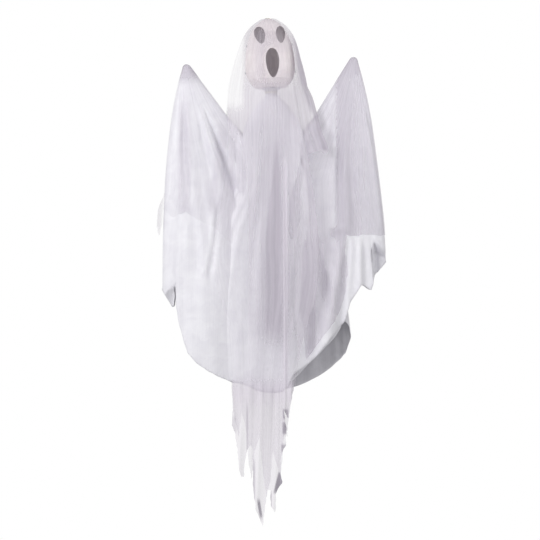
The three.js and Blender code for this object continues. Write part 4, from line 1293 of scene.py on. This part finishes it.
@dataclass
class Studio:
    """A pale floor well below the ghost, soft light from the left and a white background."""

    floor_level: float = -1.95
    floor_size: float = 4.8
    camera_back: float = 8.0
    sensor: float = 36.0  # width of its sensor, in millimetres
    sideways: float = 0.006  # X of the photograph's middle
    frame_width: float = 1.62  # what the picture spans where the ghost hangs
    world: float = 0.52  # strength of the even light from all round
    lamps: tuple[Lamp, ...] = (
        Lamp("key_softbox", 77.0, (-2.2, -2.9, 1.1)),
        Lamp("fill_softbox", 14.0, (2.4, -3.1, 0.4)),
        Lamp("head_lamp", 0.55, (1.9, -0.75, 0.05), aim=(0.02, 0.0, -0.16), size=0.5, spread=40.0),
    )

    def build(self) -> None:
        """Makes the floor, the lamps, the world and the camera."""
        self.make_floor()
        for lamp in self.lamps:
            lamp.hang()
        self.make_world()
        self.make_camera()

    def make_floor(self) -> None:
        """Lays a pale floor that is white where it's bare and keeps the ghost's shadow."""
        bpy.ops.mesh.primitive_plane_add(size=self.floor_size, location=(0, 0, self.floor_level))
        floor = bpy.context.active_object
        floor.name = "studio_floor"
        floor.data.materials.append(FLOOR.material())

    def make_world(self) -> None:
        """Fills in evenly from all round and shows white to the camera."""
        world = bpy.data.worlds.new("studio")
        bpy.context.scene.world = world
        world.use_nodes = True
        tree = world.node_tree
        tree.nodes.clear()
        rays = add_node(tree, "LightPath").outputs
        shown = rays["Is Camera Ray"]
        for kind in ("Is Glossy Ray", "Is Transmission Ray"):
            shown = add_node(tree, "Math", {"operation": "MAXIMUM"}, links={0: shown, 1: rays[kind]})
        level = add_node(tree, "MapRange", values={"To Min": self.world, "To Max": 1.0}, links={"Value": shown})
        sky = add_node(tree, "Background", values={"Color": (1, 1, 1, 1)}, links={"Strength": level})
        add_node(tree, "OutputWorld", links={"Surface": sky})

    def make_camera(self) -> None:
        """Stands the camera level with the photograph's middle, far enough back for its flat view."""
        data = bpy.data.cameras.new("camera")
        data.sensor_width = self.sensor
        data.lens = self.sensor * self.camera_back / self.frame_width
        camera = bpy.data.objects.new("camera", data)
        camera.location = (self.sideways, -self.camera_back, MIDDLE_LEVEL)
        camera.rotation_euler = (math.pi / 2, 0, 0)
        bpy.context.scene.collection.objects.link(camera)
        bpy.context.scene.camera = camera


def main() -> None:
    """Dresses the ghost's hard pieces, makes its cloth and sets up the studio."""
    logging.basicConfig(level=logging.INFO, format="%(name)s %(message)s")
    bpy.context.scene.view_settings.view_transform = "Standard"
    for piece in bpy.context.selected_objects:
        piece.select_set(False)
    for part in (Skeleton(), Robe(), LEFT_WING, RIGHT_WING, Veil(), Studio()):
        part.build()


if __name__ == "__main__":
    main()
